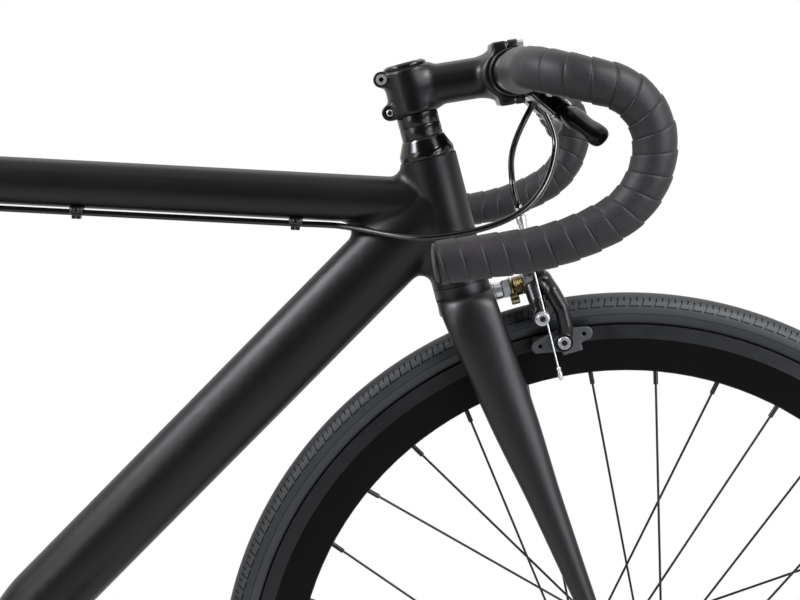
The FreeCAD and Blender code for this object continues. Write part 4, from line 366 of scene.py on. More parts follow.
stem_cell = 0.9 * mm
stem_margin = Vector((6, 3, 8)) * mm
turned_crease = 35
spacer_height = 10 * mm
spacer_sides = 64
spacer_profile = ((14.4, 0.02), (16.1, 0.02), (16.6, 0.25), (16.8, 0.7), (16.8, 9.3), (16.6, 9.75),
                  (16.1, 9.98), (14.4, 9.98))
tip_profile = ((0, -1.5), (2.7, -1.5), (2.7, 0.4), (2.3, 0.7), (1.6, 0.7), (1.4, 0.1), (0, 0.1))
small_sides = 24
socket_reach = 2.25 * mm
stem_axis_at = bar_centre + steer_up * stem_drop - steer_fore * stem_reach
stem_base = stem_axis_at - steer_up * stem_axis_rise
stem_top = stem_base + steer_up * stem_height
stem_dir = (bar_centre - stem_axis_at).normalized()
stem_cross = left_hand.cross(stem_dir) * -1
ear_spots = [stem_base + steer_up * rise - steer_fore * ear_offset for rise in ear_rises]


def rod(at, a, b, start, end=None):
    """Distance to a round-ended rod from a to b whose radius may change from start to end."""
    a = np.array(a)
    along = np.array(b) - a
    share = np.clip((at - a) @ along / (along @ along), 0, 1)
    radius = start + ((start if end is None else end) - start) * share
    return np.linalg.norm(at - a - share[..., None] * along, axis=-1) - radius


def eased(high, wide, corner):
    """Distance to what two faces bound, from the distance to each, with a round where they meet."""
    high, wide = high + corner, wide + corner
    inside = np.minimum(np.maximum(high, wide), 0)
    return inside + np.hypot(np.maximum(high, 0), np.maximum(wide, 0)) - corner


def drum(at, a, b, radius, corner=0.0):
    """Distance to a flat-ended cylinder from a to b with rounded rims."""
    a, b = np.array(a), np.array(b)
    length = np.linalg.norm(b - a)
    along = (at - 0.5 * (a + b)) @ ((b - a) / length)
    out = np.linalg.norm(at - 0.5 * (a + b) - along[..., None] * ((b - a) / length), axis=-1)
    return eased(np.abs(along) - 0.5 * length, out - radius, corner)


def slab(at, middle, halves, corner=0.0):
    """Distance to a block given by its middle and three half edges, with rounded edges."""
    apart = []
    for half in halves:
        size = half.length
        apart.append(np.abs((at - np.array(middle)) @ np.array(half / size)) - size + corner)
    outside = np.sqrt(sum(np.maximum(side, 0) ** 2 for side in apart))
    return np.minimum(np.maximum.reduce(apart), 0) + outside - corner


def melt(a, b, reach):
    """Joins two solids with a fillet of about that reach."""
    near = np.maximum(reach - np.abs(a - b), 0) / reach
    return np.minimum(a, b) - near ** 2 * reach / 4


def carve(a, b, reach=no_fillet):
    """Takes the second solid out of the first, easing the edge."""
    return -melt(-a, b, reach)


def forged(name, low, high, cell, distance, material, body):
    """Meshes the skin of a solid from its distance function, a point in each cell that the skin crosses."""
    low = np.array(low)
    counts = np.ceil((np.array(high) - low) / cell).astype(int) + 1
    axes = [low[axis] + cell * np.arange(counts[axis]) for axis in range(3)]
    field = distance(np.stack(np.meshgrid(*axes, indexing="ij"), -1))
    total = np.zeros((*(counts - 1), 3))
    hits = np.zeros(counts - 1)
    sheets = []
    for axis in range(3):
        first, second = [other for other in range(3) if other != axis]
        for u in (0, 1):
            for v in (0, 1):
                start = [0, 0, 0]
                start[first], start[second] = u, v
                end = list(start)
                end[axis] = 1
                a, b = (field[tuple(slice(o, o + n - 1) for o, n in zip(c, counts))] for c in (start, end))
                crossed = (a < 0) != (b < 0)
                total[..., axis] += np.where(crossed, a / np.where(crossed, a - b, 1), 0)
                total[..., first] += crossed * u
                total[..., second] += crossed * v
                hits += crossed
        inner = [slice(1, -1)] * 3
        inner[axis] = slice(None)
        sheets.append((first, second, np.argwhere(np.diff(field >= 0, axis=axis)[tuple(inner)])))
    filled = hits > 0
    number = np.full(hits.shape, -1)
    number[filled] = np.arange(filled.sum())
    points = low + cell * (np.argwhere(filled) + total[filled] / hits[filled][:, None])
    faces = []
    for first, second, places in sheets:
        corners = []
        for u, v in ((0, 0), (1, 0), (1, 1), (0, 1)):
            place = places.copy()
            place[:, first] += u
            place[:, second] += v
            corners.append(number[tuple(place.T)])
        faces += np.stack(corners, -1).tolist()
    return make(name, points.tolist(), faces, material, body)


def turned(name, base, axis, profile, material, body, sides=40):
    """A turned piece: (radius, distance along the axis) pairs in mm from its base, swept round."""
    axis = axis.normalized()
    across = axis.orthogonal().normalized()
    beside = axis.cross(across)
    points = []
    for radius, along in profile:
        for column in range(sides):
            turn = 2 * math.pi * column / sides
            out = across * math.cos(turn) + beside * math.sin(turn)
            points.append(base + axis * (along * mm) + out * (radius * mm))
    faces = ring_faces(len(profile), sides, True)
    return crease(make(name, points, faces, material, body), turned_crease)


def stem_solid(at):
    """Clamp, neck and steerer drum run together, split ears behind, then both bores and the open face."""
    clamp = slab(at, bar_centre - stem_dir * (0.5 * clamp_back),
                 (stem_dir * (0.5 * clamp_back), stem_cross * clamp_tall, left_hand * clamp_half),
                 forge_round)
    ring = drum(at, bar_centre - left_hand * clamp_half, bar_centre + left_hand * clamp_half,
                clamp_radius, forge_round)
    neck = drum(at, stem_axis_at, bar_centre - stem_dir * clamp_back, stem_tube_radius)
    solid = melt(neck, melt(clamp, ring, forge_round), neck_fillet)
    solid = melt(solid, drum(at, stem_base, stem_top, stem_radius, forge_round), steerer_fillet)
    for ear in ear_spots:
        lug = drum(at, ear - left_hand * ear_half, ear + left_hand * ear_half, ear_radius, ear_round)
        slit = slab(at, ear, (steer_fore * ear_offset, left_hand * slit_half, steer_up * stem_height))
        solid = carve(melt(solid, lug, ear_fillet), slit)
    steerer = drum(at, stem_base - steer_up * stem_height, stem_top + steer_up * stem_height, steerer_hole)
    bar = drum(at, bar_centre - left_hand * stem_reach, bar_centre + left_hand * stem_reach, clamp_hole)
    solid = carve(carve(solid, steerer), bar, bore_edge)
    ahead = (at - np.array(bar_centre)) @ np.array(stem_dir) + 0.5 * face_gap
    return np.maximum(solid, ahead)


# Blasted and anodised forging: black, with a fine grain that sparkles softly where light falls along it.
grained_black = surface("blasted_black_anodised", "060607", "0d0d0e", (0.26, 0.36), 0.9, 0.07, 0.27)
# Zinc plated steel: pale, bright metal with soft highlights.
bolt_steel = surface("zinc_plated_bolt_steel", "a9aaac", "d6d6d7", (0.2, 0.32), 0.8, 0.004, Metallic=0.8)
# Turned and anodised spacers: black, between satin and gloss.
spacer_black = surface("turned_black_anodised", "060607", "0b0b0c", (0.20, 0.28), 2.0, 0.004, 0.4)
# The inside of a bolt's socket: painted shade, a dull near-black that stands in for the shade in the recess
# of the plated bolt.
socket_shade_black = surface("painted_socket_shade", "050505", "0a0a0a", (0.4, 0.5), 0.6, 0.01, 0.2)
stem_low, stem_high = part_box("stem")
forged_stem = forged("forged_stem", stem_low - stem_margin, stem_high + stem_margin, stem_cell, stem_solid,
                     grained_black, "steering")
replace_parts(forged_stem, "stem")
dress(grained_black, "stem_faceplate")
soften(face_edge, "stem_faceplate")
dress(bolt_steel, "stem_bolts")
for number in (1, 2):
    spacer = turned("spacer_%d" % number, stem_base - steer_up * spacer_height * number, steer_up,
                    spacer_profile, spacer_black, "steering", spacer_sides)
    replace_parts(spacer, "headset_spacers")
turned("stem_bolt_tip", ear_spots[1] - left_hand * ear_half, left_hand * -1, tip_profile, bolt_steel,
       "steering", small_sides)
socket_axes = [(ear, left_hand) for ear in ear_spots] + [(stem_top, steer_up)]
for high in (face_bolt_high, -face_bolt_high):
    for side in (face_bolt_side, -face_bolt_side):
        socket_axes.append((bar_centre + stem_cross * high + left_hand * side, stem_dir))


def in_socket(place):
    """Whether a place lies within the socket of one of the stem's bolts."""
    away = [(place - base, axis) for base, axis in socket_axes]
    return any((apart - axis * apart.dot(axis)).length < socket_reach for apart, axis in away)


# The faces inside the sockets of the stem's bolts take the painted shade.
dress_part(socket_shade_black, "stem_bolts", in_socket)

# The handlebar is bent aluminium tube, anodised dark and left bare beside the clamp. Ribbed cork tape is
# wound on in overlapping turns from there to the ends of the drops, where rubber plugs hold it.
tape_start = 70 * mm
bar_half_width = 194 * mm
corner_radius = 45 * mm
bar_ramp = math.radians(13.3)
ramp_run = 3.7 * mm
crook_radius = 42.9 * mm
hook_radius = 58 * mm
hook_turn = math.radians(60)
drop_radius = 169 * mm
drop_turn = math.radians(22.5)
drop_run = 56 * mm
bar_radius = 11.9 * mm
bulge_radius = 15.9 * mm
bulge_half = 42 * mm
taper_end = 72 * mm
tape_pitch = 14.6 * mm
tape_thickness = 3.1 * mm
tape_step = 1.2 * mm
tape_lead = 60 * mm
tape_swell = 2.2 * mm
swell_share = 0.3
wrap_shares = ((0.0, 0.0), (0.01, 0.55), (0.035, 0.94), (0.1, 1.0), (0.25, 0.92), (0.5, 0.76), (0.75, 0.58),
               (0.92, 0.42), (0.98, 0.25))
tape_sides = 56
walk_step = 1.0 * mm


def walk(start, heading, runs):
    """Points and headings one step apart along runs of (length, turning axis or None, radius)."""
    place, ahead = start.copy(), heading.normalized()
    track = [(place.copy(), ahead.copy())]
    for length, axis, radius in runs:
        count = max(1, round(length / walk_step))
        for _ in range(count):
            if axis is None:
                place = place + ahead * (length / count)
            else:
                half = Quaternion(axis, 0.5 * length / (count * radius))
                ahead = half @ ahead
                place = place + ahead * (2 * radius * math.sin(0.5 * length / (count * radius)))
                ahead = half @ ahead
            track.append((place.copy(), ahead.copy()))
    return track


def tape_reach(along, rise):
    """How far the tape stands from the bar's middle, thicker over its first turns."""
    fade = min(max((tape_start + along - bulge_half) / (taper_end - bulge_half), 0), 1)
    size = bulge_radius + (bar_radius - bulge_radius) * fade
    swell = min(along / (tape_lead * swell_share), max(0, 1 - along / tape_lead) / (1 - swell_share))
    return size + tape_thickness + tape_step * (rise - 0.5) + tape_swell * swell


def wound_tape(name, hand, node):
    """Tape wound in a helix round the bar: hand is -1 for the right side and 1 for the left."""
    side = Vector((0, hand, 0))
    ramp_dir = Vector((math.cos(bar_ramp), 0, -math.sin(bar_ramp)))
    runs = ((bar_half_width - corner_radius - tape_start, None, 0),
            (corner_radius * math.pi / 2, side.cross(ramp_dir), corner_radius),
            (ramp_run, None, 0),
            (crook_radius * (math.pi / 2 - bar_ramp), left_hand, crook_radius),
            (hook_radius * hook_turn, left_hand, hook_radius),
            (drop_radius * drop_turn, left_hand, drop_radius),
            (drop_run, None, 0))
    track = walk(bar_centre + side * tape_start, side, runs)
    lengths = [0.0]
    for before, after in zip(track, track[1:]):
        lengths.append(lengths[-1] + (after[0] - before[0]).length)
    total = lengths[-1]
    frames = []
    outward = ramp_dir.cross(side).normalized()
    for place, ahead in track:
        outward = (outward - ahead * outward.dot(ahead)).normalized()
        frames.append((place, outward.copy(), ahead.cross(outward)))
    wraps = math.ceil(total / tape_pitch) + 1
    points = []
    for wrap in range(-1, wraps):
        for share, rise in wrap_shares:
            for column in range(tape_sides):
                turn = column / tape_sides
                along = min(max((wrap + share + turn) * tape_pitch, 0), total)
                index = min(int(along / total * (len(track) - 1)), len(track) - 2)
                while lengths[index] > along and index > 0:
                    index -= 1
                while lengths[index + 1] < along and index < len(track) - 2:
                    index += 1
                part = (along - lengths[index]) / (lengths[index + 1] - lengths[index])
                place, out, across = (a.lerp(b, part) for a, b in zip(frames[index], frames[index + 1]))
                angle = 2 * math.pi * turn * -hand
                around = out * math.cos(angle) + across * math.sin(angle)
                points.append(place + around * tape_reach(along, rise))
    rows = len(wrap_shares)
    count = (wraps + 1) * rows
    faces = []
    for row in range(count - 1):
        for column in range(tape_sides - 1):
            corner = row * tape_sides + column
            faces.append((corner, corner + 1, corner + tape_sides + 1, corner + tape_sides))
        if row + rows + 1 < count:
            last = row * tape_sides + tape_sides - 1
            first = (row + rows) * tape_sides
            faces.append((last, first, first + tape_sides, last + tape_sides))
    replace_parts(make(name, points, faces, cork_tape, "steering"), node)


# Dark anodised tube: grey metal with soft streaks of light along it.
anodised_bar = surface("dark_anodised_bar", "46484c", "606266", (0.26, 0.36), 0.7, 0.006, Metallic=1.0)
# Moulded plugs: plain dull rubber.
plug_rubber = surface("plug_rubber", "121212", "1c1c1c", (0.42, 0.55), 1.0, 0.01)
# Cork in foam: warm black, grained and soft, with a weak sheen on each turn.
cork_tape = surface("cork_bar_tape", "191718", "2a2729", (0.42, 0.54), 1.1, 0.12, 0.26)
dress(anodised_bar, "handlebar")
dress(plug_rubber, "bar_end_plugs")
wound_tape("wound_tape_right", -1, "bar_tape_right")
wound_tape("wound_tape_left", 1, "bar_tape_left")

# The auxiliary brake levers sit on the bar's tops. Each has a cast black bracket clamped round the bulge by a
# screw, and a polished gloss black blade that swings on a steel pin.
lever_droop = math.radians(39.7)
lever_out = Vector((math.cos(lever_droop), 0, -math.sin(lever_droop)))
lever_up = Vector((math.sin(lever_droop), 0, math.cos(lever_droop)))
bracket_edge = 0.8 * mm
pin_out = 46.5 * mm
pin_side = 50 * mm
pin_half = 7.25 * mm
screw_out = 29.8 * mm
screw_up = 4.0 * mm
screw_side = 58.1 * mm
pin_head = ((0, 0), (3.4, 0), (3.4, 1.0), (2.8, 1.6), (0, 1.6))
clamp_screw = ((0, 0), (3.5, 0), (3.5, 3.2), (3.0, 3.8), (1.9, 3.8), (1.7, 2.4), (0, 2.4))
# Polished black blade: deep and smooth, with a weak but sharp reflection.
lever_gloss = surface("polished_black_lever", "050506", "09090a", (0.16, 0.24), 4.0, 0.003, 0.1)
dress(satin_black, "brake_lever_bracket_right", "brake_lever_bracket_left")
dress(lever_gloss, "brake_lever_right", "brake_lever_left")
soften(bracket_edge, "brake_lever_bracket_right", "brake_lever_bracket_left")
for hand, side in (("right", -1), ("left", 1)):
    across = left_hand * side
    pin_at = bar_centre + lever_out * pin_out + across * pin_side
    for level, way in (("top", lever_up), ("low", lever_up * -1)):
        turned("lever_pin_head_%s_%s" % (hand, level), pin_at + way * pin_half, way, pin_head, bolt_steel,
               "steering", small_sides)
    screw_at = bar_centre + lever_out * screw_out + lever_up * screw_up + across * screw_side
    turned("lever_clamp_screw_" + hand, screw_at, across, clamp_screw, bolt_steel, "steering",
           small_sides)

# The brakes are side-pull calipers: two forged black arms crossed on a steel centre bolt, closed by the wire
# and opened by a brass spring. Places on a caliper are in mm: across to the cable's side, up from the bolt,
# and out from the bolt's seat.
calipers = (("front", "right", "left", "steering", axle_front), ("rear", "left", "right", "frame", axle_rear))
hub_radius = 11 * mm
hub_clear = 1.2 * hub_radius
arm_back = (27.4, 35.6)
arm_front = (35.9, 44.1)
arm_edge = 1.2 * mm
arm_fillet = 4 * mm
arm_cell = 0.8 * mm
arm_margin = Vector((5, 4, 4)) * mm
leg_spots = ((6, 1, 0.0), (19, 3, 0.1), (28.5, -7, 0.45), (31, -22, 0.85), (30.5, -37, 0.85),
             (28.8, -49, 0.55))
leg_radii = (7.5, 7.2, 6.6, 6.2, 5.8, 5.6)
front_leg_out, front_leg_step = 40, 11
back_leg_out, back_leg_step = 31.5, 18
pad_out = 44.0
pad_drop = 49.0
washer_face = 33.8
washer_cut = 7 * mm
holder_face = 23.6
holder_cut = 9 * mm
cut_run = 20.2
front_of_arms = 80
wire_across, wire_out = 35.55, 34.75
boss_low, boss_high = 28.5, 40.5
boss_radius = 5.6 * mm
boss_edge = 0.8 * mm
boss_fillet = 2 * mm
yoke_spots = ((18, 3, 40), (28, 14, 38.5), (wire_across, boss_low + 2, wire_out + 1))
yoke_radii = (5.6, 5.2, 5.0)
anchor_across, anchor_up, anchor_out = 29.5, -25.0, 31.5
anchor_faces = (24.5, 34.7)
anchor_radius = 7.6 * mm
anchor_fillet = 3 * mm
anchor_spots = ((4, 0, 31.5), (20, -2, 31.5), (28, -12, 31.5), (anchor_across, anchor_up, anchor_out))
anchor_radii = (7.5, 7.0, 6.6, 6.2)
# Forged and anodised arms: smooth black with broad soft highlights.
arm_black = surface("forged_black_arm", "09090a", "131314", (0.20, 0.32), 1.0, 0.01, 0.35)

seats = {}
for end, cable_hand, anchor_hand, body, axle in calipers:
    pivot = joints[end + "_brake_" + cable_hand + "_close"]
    out = Vector(pivot["axis"]).normalized()
    rise = out.cross(left_hand) * math.copysign(1, out.x)
    seats[end] = (Vector(pivot["pos_m"]), left_hand * (-1 if cable_hand == "right" else 1), rise, out)


def spot(end, across, high, ahead):
    """A point on the front or rear caliper."""
    mount, beside, rise, out = seats[end]
    return mount + (beside * across + rise * high + out * ahead) * mm


def limb(at, end, spots, radii):
    """Distance to a run of tapered rods through spots of a caliper."""
    places = [spot(end, *place) for place in spots]
    runs = zip(places, places[1:], radii, radii[1:])
    return np.minimum.reduce([rod(at, a, b, start * mm, stop * mm) for a, b, start, stop in runs])


def post(at, end, a, b, radius, corner=0.0):
    """Distance to a flat-ended cylinder between two spots of a caliper."""
    return drum(at, spot(end, *a), spot(end, *b), radius, corner)


def shoe_seat(at, end, solid, side):
    """Faces an arm's foot flat, outside for the washer and inside for the shoe's holder."""
    outside = post(at, end, (side * washer_face, -pad_drop, pad_out),
                   (side * (washer_face + cut_run), -pad_drop, pad_out), washer_cut)
    inside = post(at, end, (0, -pad_drop, pad_out), (side * holder_face, -pad_drop, pad_out), holder_cut)
    return carve(carve(solid, outside), inside)


def cable_arm(at, end):
    """The front arm: hub, leg, and a yoke up to the boss that the housing's adjuster screws into."""
    solid = post(at, end, (0, 0, arm_front[0]), (0, 0, arm_front[1]), hub_radius, arm_edge)
    leg = [(x, y, front_leg_out + front_leg_step * z) for x, y, z in leg_spots]
    solid = melt(solid, limb(at, end, leg, leg_radii), arm_fillet)
    solid = melt(solid, limb(at, end, yoke_spots, yoke_radii), arm_fillet)
    boss = post(at, end, (wire_across, boss_low, wire_out), (wire_across, boss_high, wire_out), boss_radius,
                boss_edge)
    solid = melt(solid, boss, boss_fillet)
    solid = carve(solid, post(at, end, (0, 0, 0), (0, 0, arm_front[0]), hub_clear))
    return shoe_seat(at, end, solid, 1)


def anchor_arm(at, end):
    """The back arm: hub, leg, and a reach across to the boss that the wire's anchor bolt clamps on."""
    solid = post(at, end, (0, 0, arm_back[0]), (0, 0, arm_back[1]), hub_radius, arm_edge)
    leg = [(-x, y, back_leg_out + back_leg_step * z) for x, y, z in leg_spots[:-1]]
    leg.append((-leg_spots[-1][0], -pad_drop, pad_out))
    solid = melt(solid, limb(at, end, leg, leg_radii), arm_fillet)
    solid = melt(solid, limb(at, end, anchor_spots, anchor_radii), arm_fillet)
    boss = post(at, end, (anchor_faces[0], anchor_up, anchor_out), (anchor_faces[1], anchor_up, anchor_out),
                anchor_radius, boss_edge)
    solid = melt(solid, boss, anchor_fillet)
    solid = carve(solid, post(at, end, (0, 0, arm_back[1]), (0, 0, front_of_arms), hub_clear))
    return shoe_seat(at, end, solid, -1)


for end, cable_hand, anchor_hand, body, axle in calipers:
    for hand, solid in ((cable_hand, cable_arm), (anchor_hand, anchor_arm)):
        arm = end + "_brake_arm_" + hand
        low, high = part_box(arm)
        forging = forged(arm + "_forging", low - arm_margin, high + arm_margin, arm_cell,
                         lambda at: solid(at, end), arm_black, arm)
        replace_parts(forging, arm)

# The wire runs from the adjuster's barrel down to an anchor bolt on the other arm, where it is clamped, and a
# crimped cap closes its end. These small fittings are turned steel, plated bright.
barrel_profile = ((1.2, 0), (5.0, 0), (5.4, 0.5), (5.4, 5.4), (5.0, 6.0), (3.4, 6.0), (3.4, 12.0),
                  (4.2, 12.6), (4.2, 18.4), (3.8, 19.0), (1.2, 19.0))
anchor_profile = ((0, 0), (5.8, 0), (5.8, 1.7), (4.7, 1.9), (4.7, 5.0), (4.2, 5.6), (2.7, 5.6), (2.5, 4.6),
                  (0, 4.6))
# A thin black hexagon down in the anchor bolt's socket is painted shade, the dark of the recess.
anchor_socket_shade = ((0, 4.4), (2.4, 4.4), (2.4, 4.9), (0, 4.9))
crimp_profile = ((0, 0), (1.5, 0), (2.1, 1.2), (1.5, 2.6), (1.5, 3.6), (2.0, 4.6), (2.0, 8.4), (1.3, 11.0),
                 (0, 11.0))
barrel_gap = 0.1
anchor_bolt_out = 6.9
hex_sides = 6
wire_end = -67.0
wire_levels = (boss_low + 3, 0, -40, wire_end)
wire_radius = 0.8 * mm
wire_sides = 12
crimp_sides = 16
cord_crease = 60


def tube(name, run, radius, material, body, sides=18):
    """A round cord of that radius along the run, closed at both ends."""
    points = []
    across = (run[1] - run[0]).orthogonal().normalized()
    for index, place in enumerate(run):
        ahead = (run[min(index + 1, len(run) - 1)] - run[max(index - 1, 0)]).normalized()
        across = (across - ahead * across.dot(ahead)).normalized()
        beside = ahead.cross(across)
        for column in range(sides):
            turn = 2 * math.pi * column / sides
            points.append(place + (across * math.cos(turn) + beside * math.sin(turn)) * radius)
    faces = [tuple(range(sides)), tuple(range(len(points) - sides, len(points)))]
    faces += ring_faces(len(run), sides, False)
    return crease(make(name, points, faces, material, body), cord_crease)


# Stranded wire: bright metal. Its strands are too fine to show, and are drawn as a half millimetre grain.
wire_steel = surface("stranded_wire_steel", "b4b6b8", "d8d9da", (0.22, 0.34), 0.5, 0.01, Metallic=1.0)
for end, cable_hand, anchor_hand, body, axle in calipers:
    mount, beside, rise, out = seats[end]
    cable_body = end + "_brake_arm_" + cable_hand
    anchor_body = end + "_brake_arm_" + anchor_hand
    turned(end + "_barrel_adjuster", spot(end, wire_across, boss_high + barrel_gap, wire_out), rise,
           barrel_profile, bolt_steel, cable_body)
    bolt_at = spot(end, anchor_across + anchor_bolt_out, anchor_up, anchor_out)
    turned(end + "_anchor_bolt", bolt_at, beside, anchor_profile, bolt_steel, anchor_body)
    # The black hexagon in the anchor bolt's socket is painted shade.
    turned(end + "_anchor_socket", bolt_at, beside, anchor_socket_shade, arm_black, anchor_body,
           hex_sides)
    wire_run = [spot(end, wire_across, level, wire_out) for level in wire_levels]
    tube(end + "_brake_wire", wire_run, wire_radius, wire_steel, anchor_body, wire_sides)
    turned(end + "_wire_cap", spot(end, wire_across, wire_end, wire_out), -rise, crimp_profile, bolt_steel,
           anchor_body, crimp_sides)

# The centre bolt carries washers, a spacer and a nut behind the arms, all turned steel, and a coiled brass
# spring with its stop below it. The front bolt's nut is sunk in the fork, and the rear one stands free.
front_profile = ((0, 50.6), (2.2, 50.2), (4.4, 48.6), (5.6, 46.2), (6.0, 44.6), (3.0, 44.6))
sunk_nut = ((3.0, 16), (4.6, 16), (4.6, 0.6), (4.0, 0), (0, 0))
free_nut = ((3.0, 10.5), (6.2, 10.5), (6.2, 4), (3.0, 4), (2.6, 0), (0, 0))
star_washer = ((3.2, 0.1), (8.5, 0.1), (8.5, 1.6), (3.2, 1.6))
mount_spacer = ((3.2, 1.8), (6.4, 1.8), (7.2, 2.6), (7.2, 7.4), (6.4, 8.2), (3.2, 8.2))
spring_nut = ((3.2, 8.4), (7.6, 8.4), (8.2, 9.0), (8.2, 14.4), (7.6, 15.0), (3.2, 15.0))
brass_washer = ((3.2, 15.2), (8.6, 15.2), (8.6, 16.6), (3.2, 16.6))
spring_core = ((3.2, 16.8), (5.4, 16.8), (5.4, 26.4), (3.2, 26.4))
back_washer = ((3.2, 26.6), (11.4, 26.6), (11.4, 27.2), (3.2, 27.2))
middle_washer = ((3.2, 35.5), (11.3, 35.5), (11.3, 36.0), (3.2, 36.0))
round_sides = 40
stop_profile = ((0, 0), (3.6, 0), (4.1, 0.5), (4.1, 6.5), (3.6, 7), (0, 7))
stop_spot = (6, -9.4, 13)
spring_radius = 7.4 * mm
spring_wire = 0.75 * mm
spring_start, spring_length = 17.8, 7.6
spring_turns = 5
spring_steps = 120
spring_sides = 10
# Dull brass: greyish yellow metal with soft highlights.
brass = surface("dull_brass", "77693f", "a3956c", (0.24, 0.36), 0.8, 0.006, Metallic=1.0)
stack = (("star_washer", bolt_steel, round_sides, star_washer),
         ("mount_spacer", bolt_steel, round_sides, mount_spacer),
         ("spring_nut", axle_steel, hex_sides, spring_nut),
         ("brass_washer", brass, round_sides, brass_washer),
         ("spring_core", arm_black, round_sides, spring_core),
         ("back_washer", wire_steel, round_sides, back_washer),
         ("middle_washer", wire_steel, round_sides, middle_washer))
for end, cable_hand, anchor_hand, body, axle in calipers:
    mount, beside, rise, out = seats[end]
    tail = min((vertex.co - mount).dot(out) for vertex in nodes[end + "_brake_bolt"].data.vertices) / mm
    nut = sunk_nut if end == "front" else free_nut
    shank_profile = front_profile + tuple((radius, tail + along) for radius, along in nut)
    shank = turned(end + "_centre_bolt", mount, out, shank_profile, axle_steel, body)
    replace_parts(shank, end + "_brake_bolt")
    for piece, finish, sides, profile in stack:
        turned(end + "_brake_" + piece, mount, out, profile, finish, body, sides)
    coil = []
    for step in range(spring_steps + 1):
        share = step / spring_steps
        turn = 2 * math.pi * spring_turns * share - math.pi / 2
        around = left_hand * math.cos(turn) + rise * math.sin(turn)
        coil.append(spot(end, 0, 0, spring_start + spring_length * share) + around * spring_radius)
    tube(end + "_brake_spring", coil, spring_wire, brass, body, spring_sides)
    turned(end + "_spring_stop", spot(end, *stop_spot), out, stop_profile, brass, body,
           small_sides)

# Each brake shoe is a rubber block pressed into a lobed steel holder with a flap below and a hole near each
# end. A socket bolt and a washer hold it to the arm's foot, tilted a little to meet the rim.
block_middle = 16.15
block_half = 24 * mm
block_tall = 5.2 * mm
block_thick = 3.1 * mm
block_edge = 1.4 * mm
block_cell = 0.6 * mm
holder_middle = 21.4
holder_half = 1.95 * mm
holder_round = 0.7 * mm
holder_cell = 0.5 * mm
shoe_tilt = math.radians(6)
lobe_reach = 20.5 * mm
lobe_middle = 9.4 * mm
lobe_end = 5.4 * mm
hole_reach = 18.4 * mm
hole_radius = 1.7 * mm
hole_edge = 0.4 * mm
flap_along = 6 * mm
flap_drop = 8.6 * mm
flap_half = 8.5 * mm
flap_tall = 4.2 * mm
flap_thick = 1.5 * mm
flap_edge = 1.0 * mm
flap_fillet = 1.5 * mm
shoe_span = Vector((34, 6, 34)) * mm
bolt_start = 23.4
bolt_profile = ((0, 0), (3.0, 0), (3.0, 12.1), (4.9, 12.1), (5.2, 12.5), (5.2, 14.5), (4.7, 15.0),
                (2.7, 15.0), (2.5, 14.0), (0, 14.0))
washer_profile = ((3.2, 10.7), (7.3, 10.7), (7.6, 11.0), (7.6, 11.7), (7.2, 12.0), (3.2, 12.0))
# A thin dark hexagon down in the shoe bolt's socket is painted shade, the dark of the recess.
shoe_socket_shade = ((0, 13.8), (2.4, 13.8), (2.4, 14.3), (0, 14.3))


def holder_plate(at, middle, lean, upright):
    """The holder's two tapering lobes, with the flap melted on and the holes cut through."""
    along, high, deep = ((at - np.array(middle)) @ np.array(axis) for axis in (lean, upright, left_hand))
    flat = np.stack([along, high, 0 * deep], -1)
    lobes = [rod(flat, (0, 0, 0), (lobe_reach * way, 0, 0), lobe_middle, lobe_end) for way in (1, -1)]
    plate = eased(np.abs(deep) - holder_half, np.minimum(*lobes), holder_round)
    flap = slab(at, middle + lean * flap_along - upright * flap_drop,
                (lean * flap_half, upright * flap_tall, left_hand * flap_thick), flap_edge)
    plate = melt(plate, flap, flap_fillet)
    return carve(plate, np.hypot(np.abs(along) - hole_reach, high) - hole_radius, hole_edge)


# Moulded pad rubber: dull black, with a dusty grain.
pad_rubber = surface("brake_pad_rubber", "0d0d0d", "171717", (0.55, 0.7), 0.8, 0.02)
# Pressed and painted steel: dark grey, without much gleam.
holder_grey = surface("pressed_holder_steel", "2c2d30", "3c3d41", (0.42, 0.55), 0.6, 0.02)
for end, cable_hand, anchor_hand, body, axle in calipers:
    for side, hand in ((1, cable_hand), (-1, anchor_hand)):
        arm = end + "_brake_arm_" + hand
        shoe = end + "_brake_shoe_" + hand
        shoe_at = spot(end, side * holder_middle, -pad_drop, pad_out)
        block_at = spot(end, side * block_middle, -pad_drop, pad_out)
        radial = Vector((shoe_at.x - axle.x, 0, shoe_at.z - axle.z)).normalized()
        tangent = left_hand.cross(radial)
        lean = tangent * math.cos(shoe_tilt) + radial * math.sin(shoe_tilt)
        upright = lean.cross(left_hand)
        block_halves = (tangent * block_half, radial * block_tall, left_hand * block_thick)
        forged(shoe + "_block", block_at - shoe_span, block_at + shoe_span, block_cell,
               lambda at: slab(at, block_at, block_halves, block_edge), pad_rubber, arm)
        plate = forged(shoe + "_holder", shoe_at - shoe_span, shoe_at + shoe_span, holder_cell,
                       lambda at: holder_plate(at, shoe_at, lean, upright), holder_grey, arm)
        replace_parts(plate, shoe)
        bolt_from = spot(end, side * bolt_start, -pad_drop, pad_out)
        outward = seats[end][1] * side
        turned(shoe + "_bolt", bolt_from, outward, bolt_profile, bolt_steel, arm)
        turned(shoe + "_washer", bolt_from, outward, washer_profile, arm_black, arm)
        # The dark hexagon in the shoe bolt's socket is painted shade.
        turned(shoe + "_socket", bolt_from, outward, shoe_socket_shade, socket_shade_black, arm,
               hex_sides)

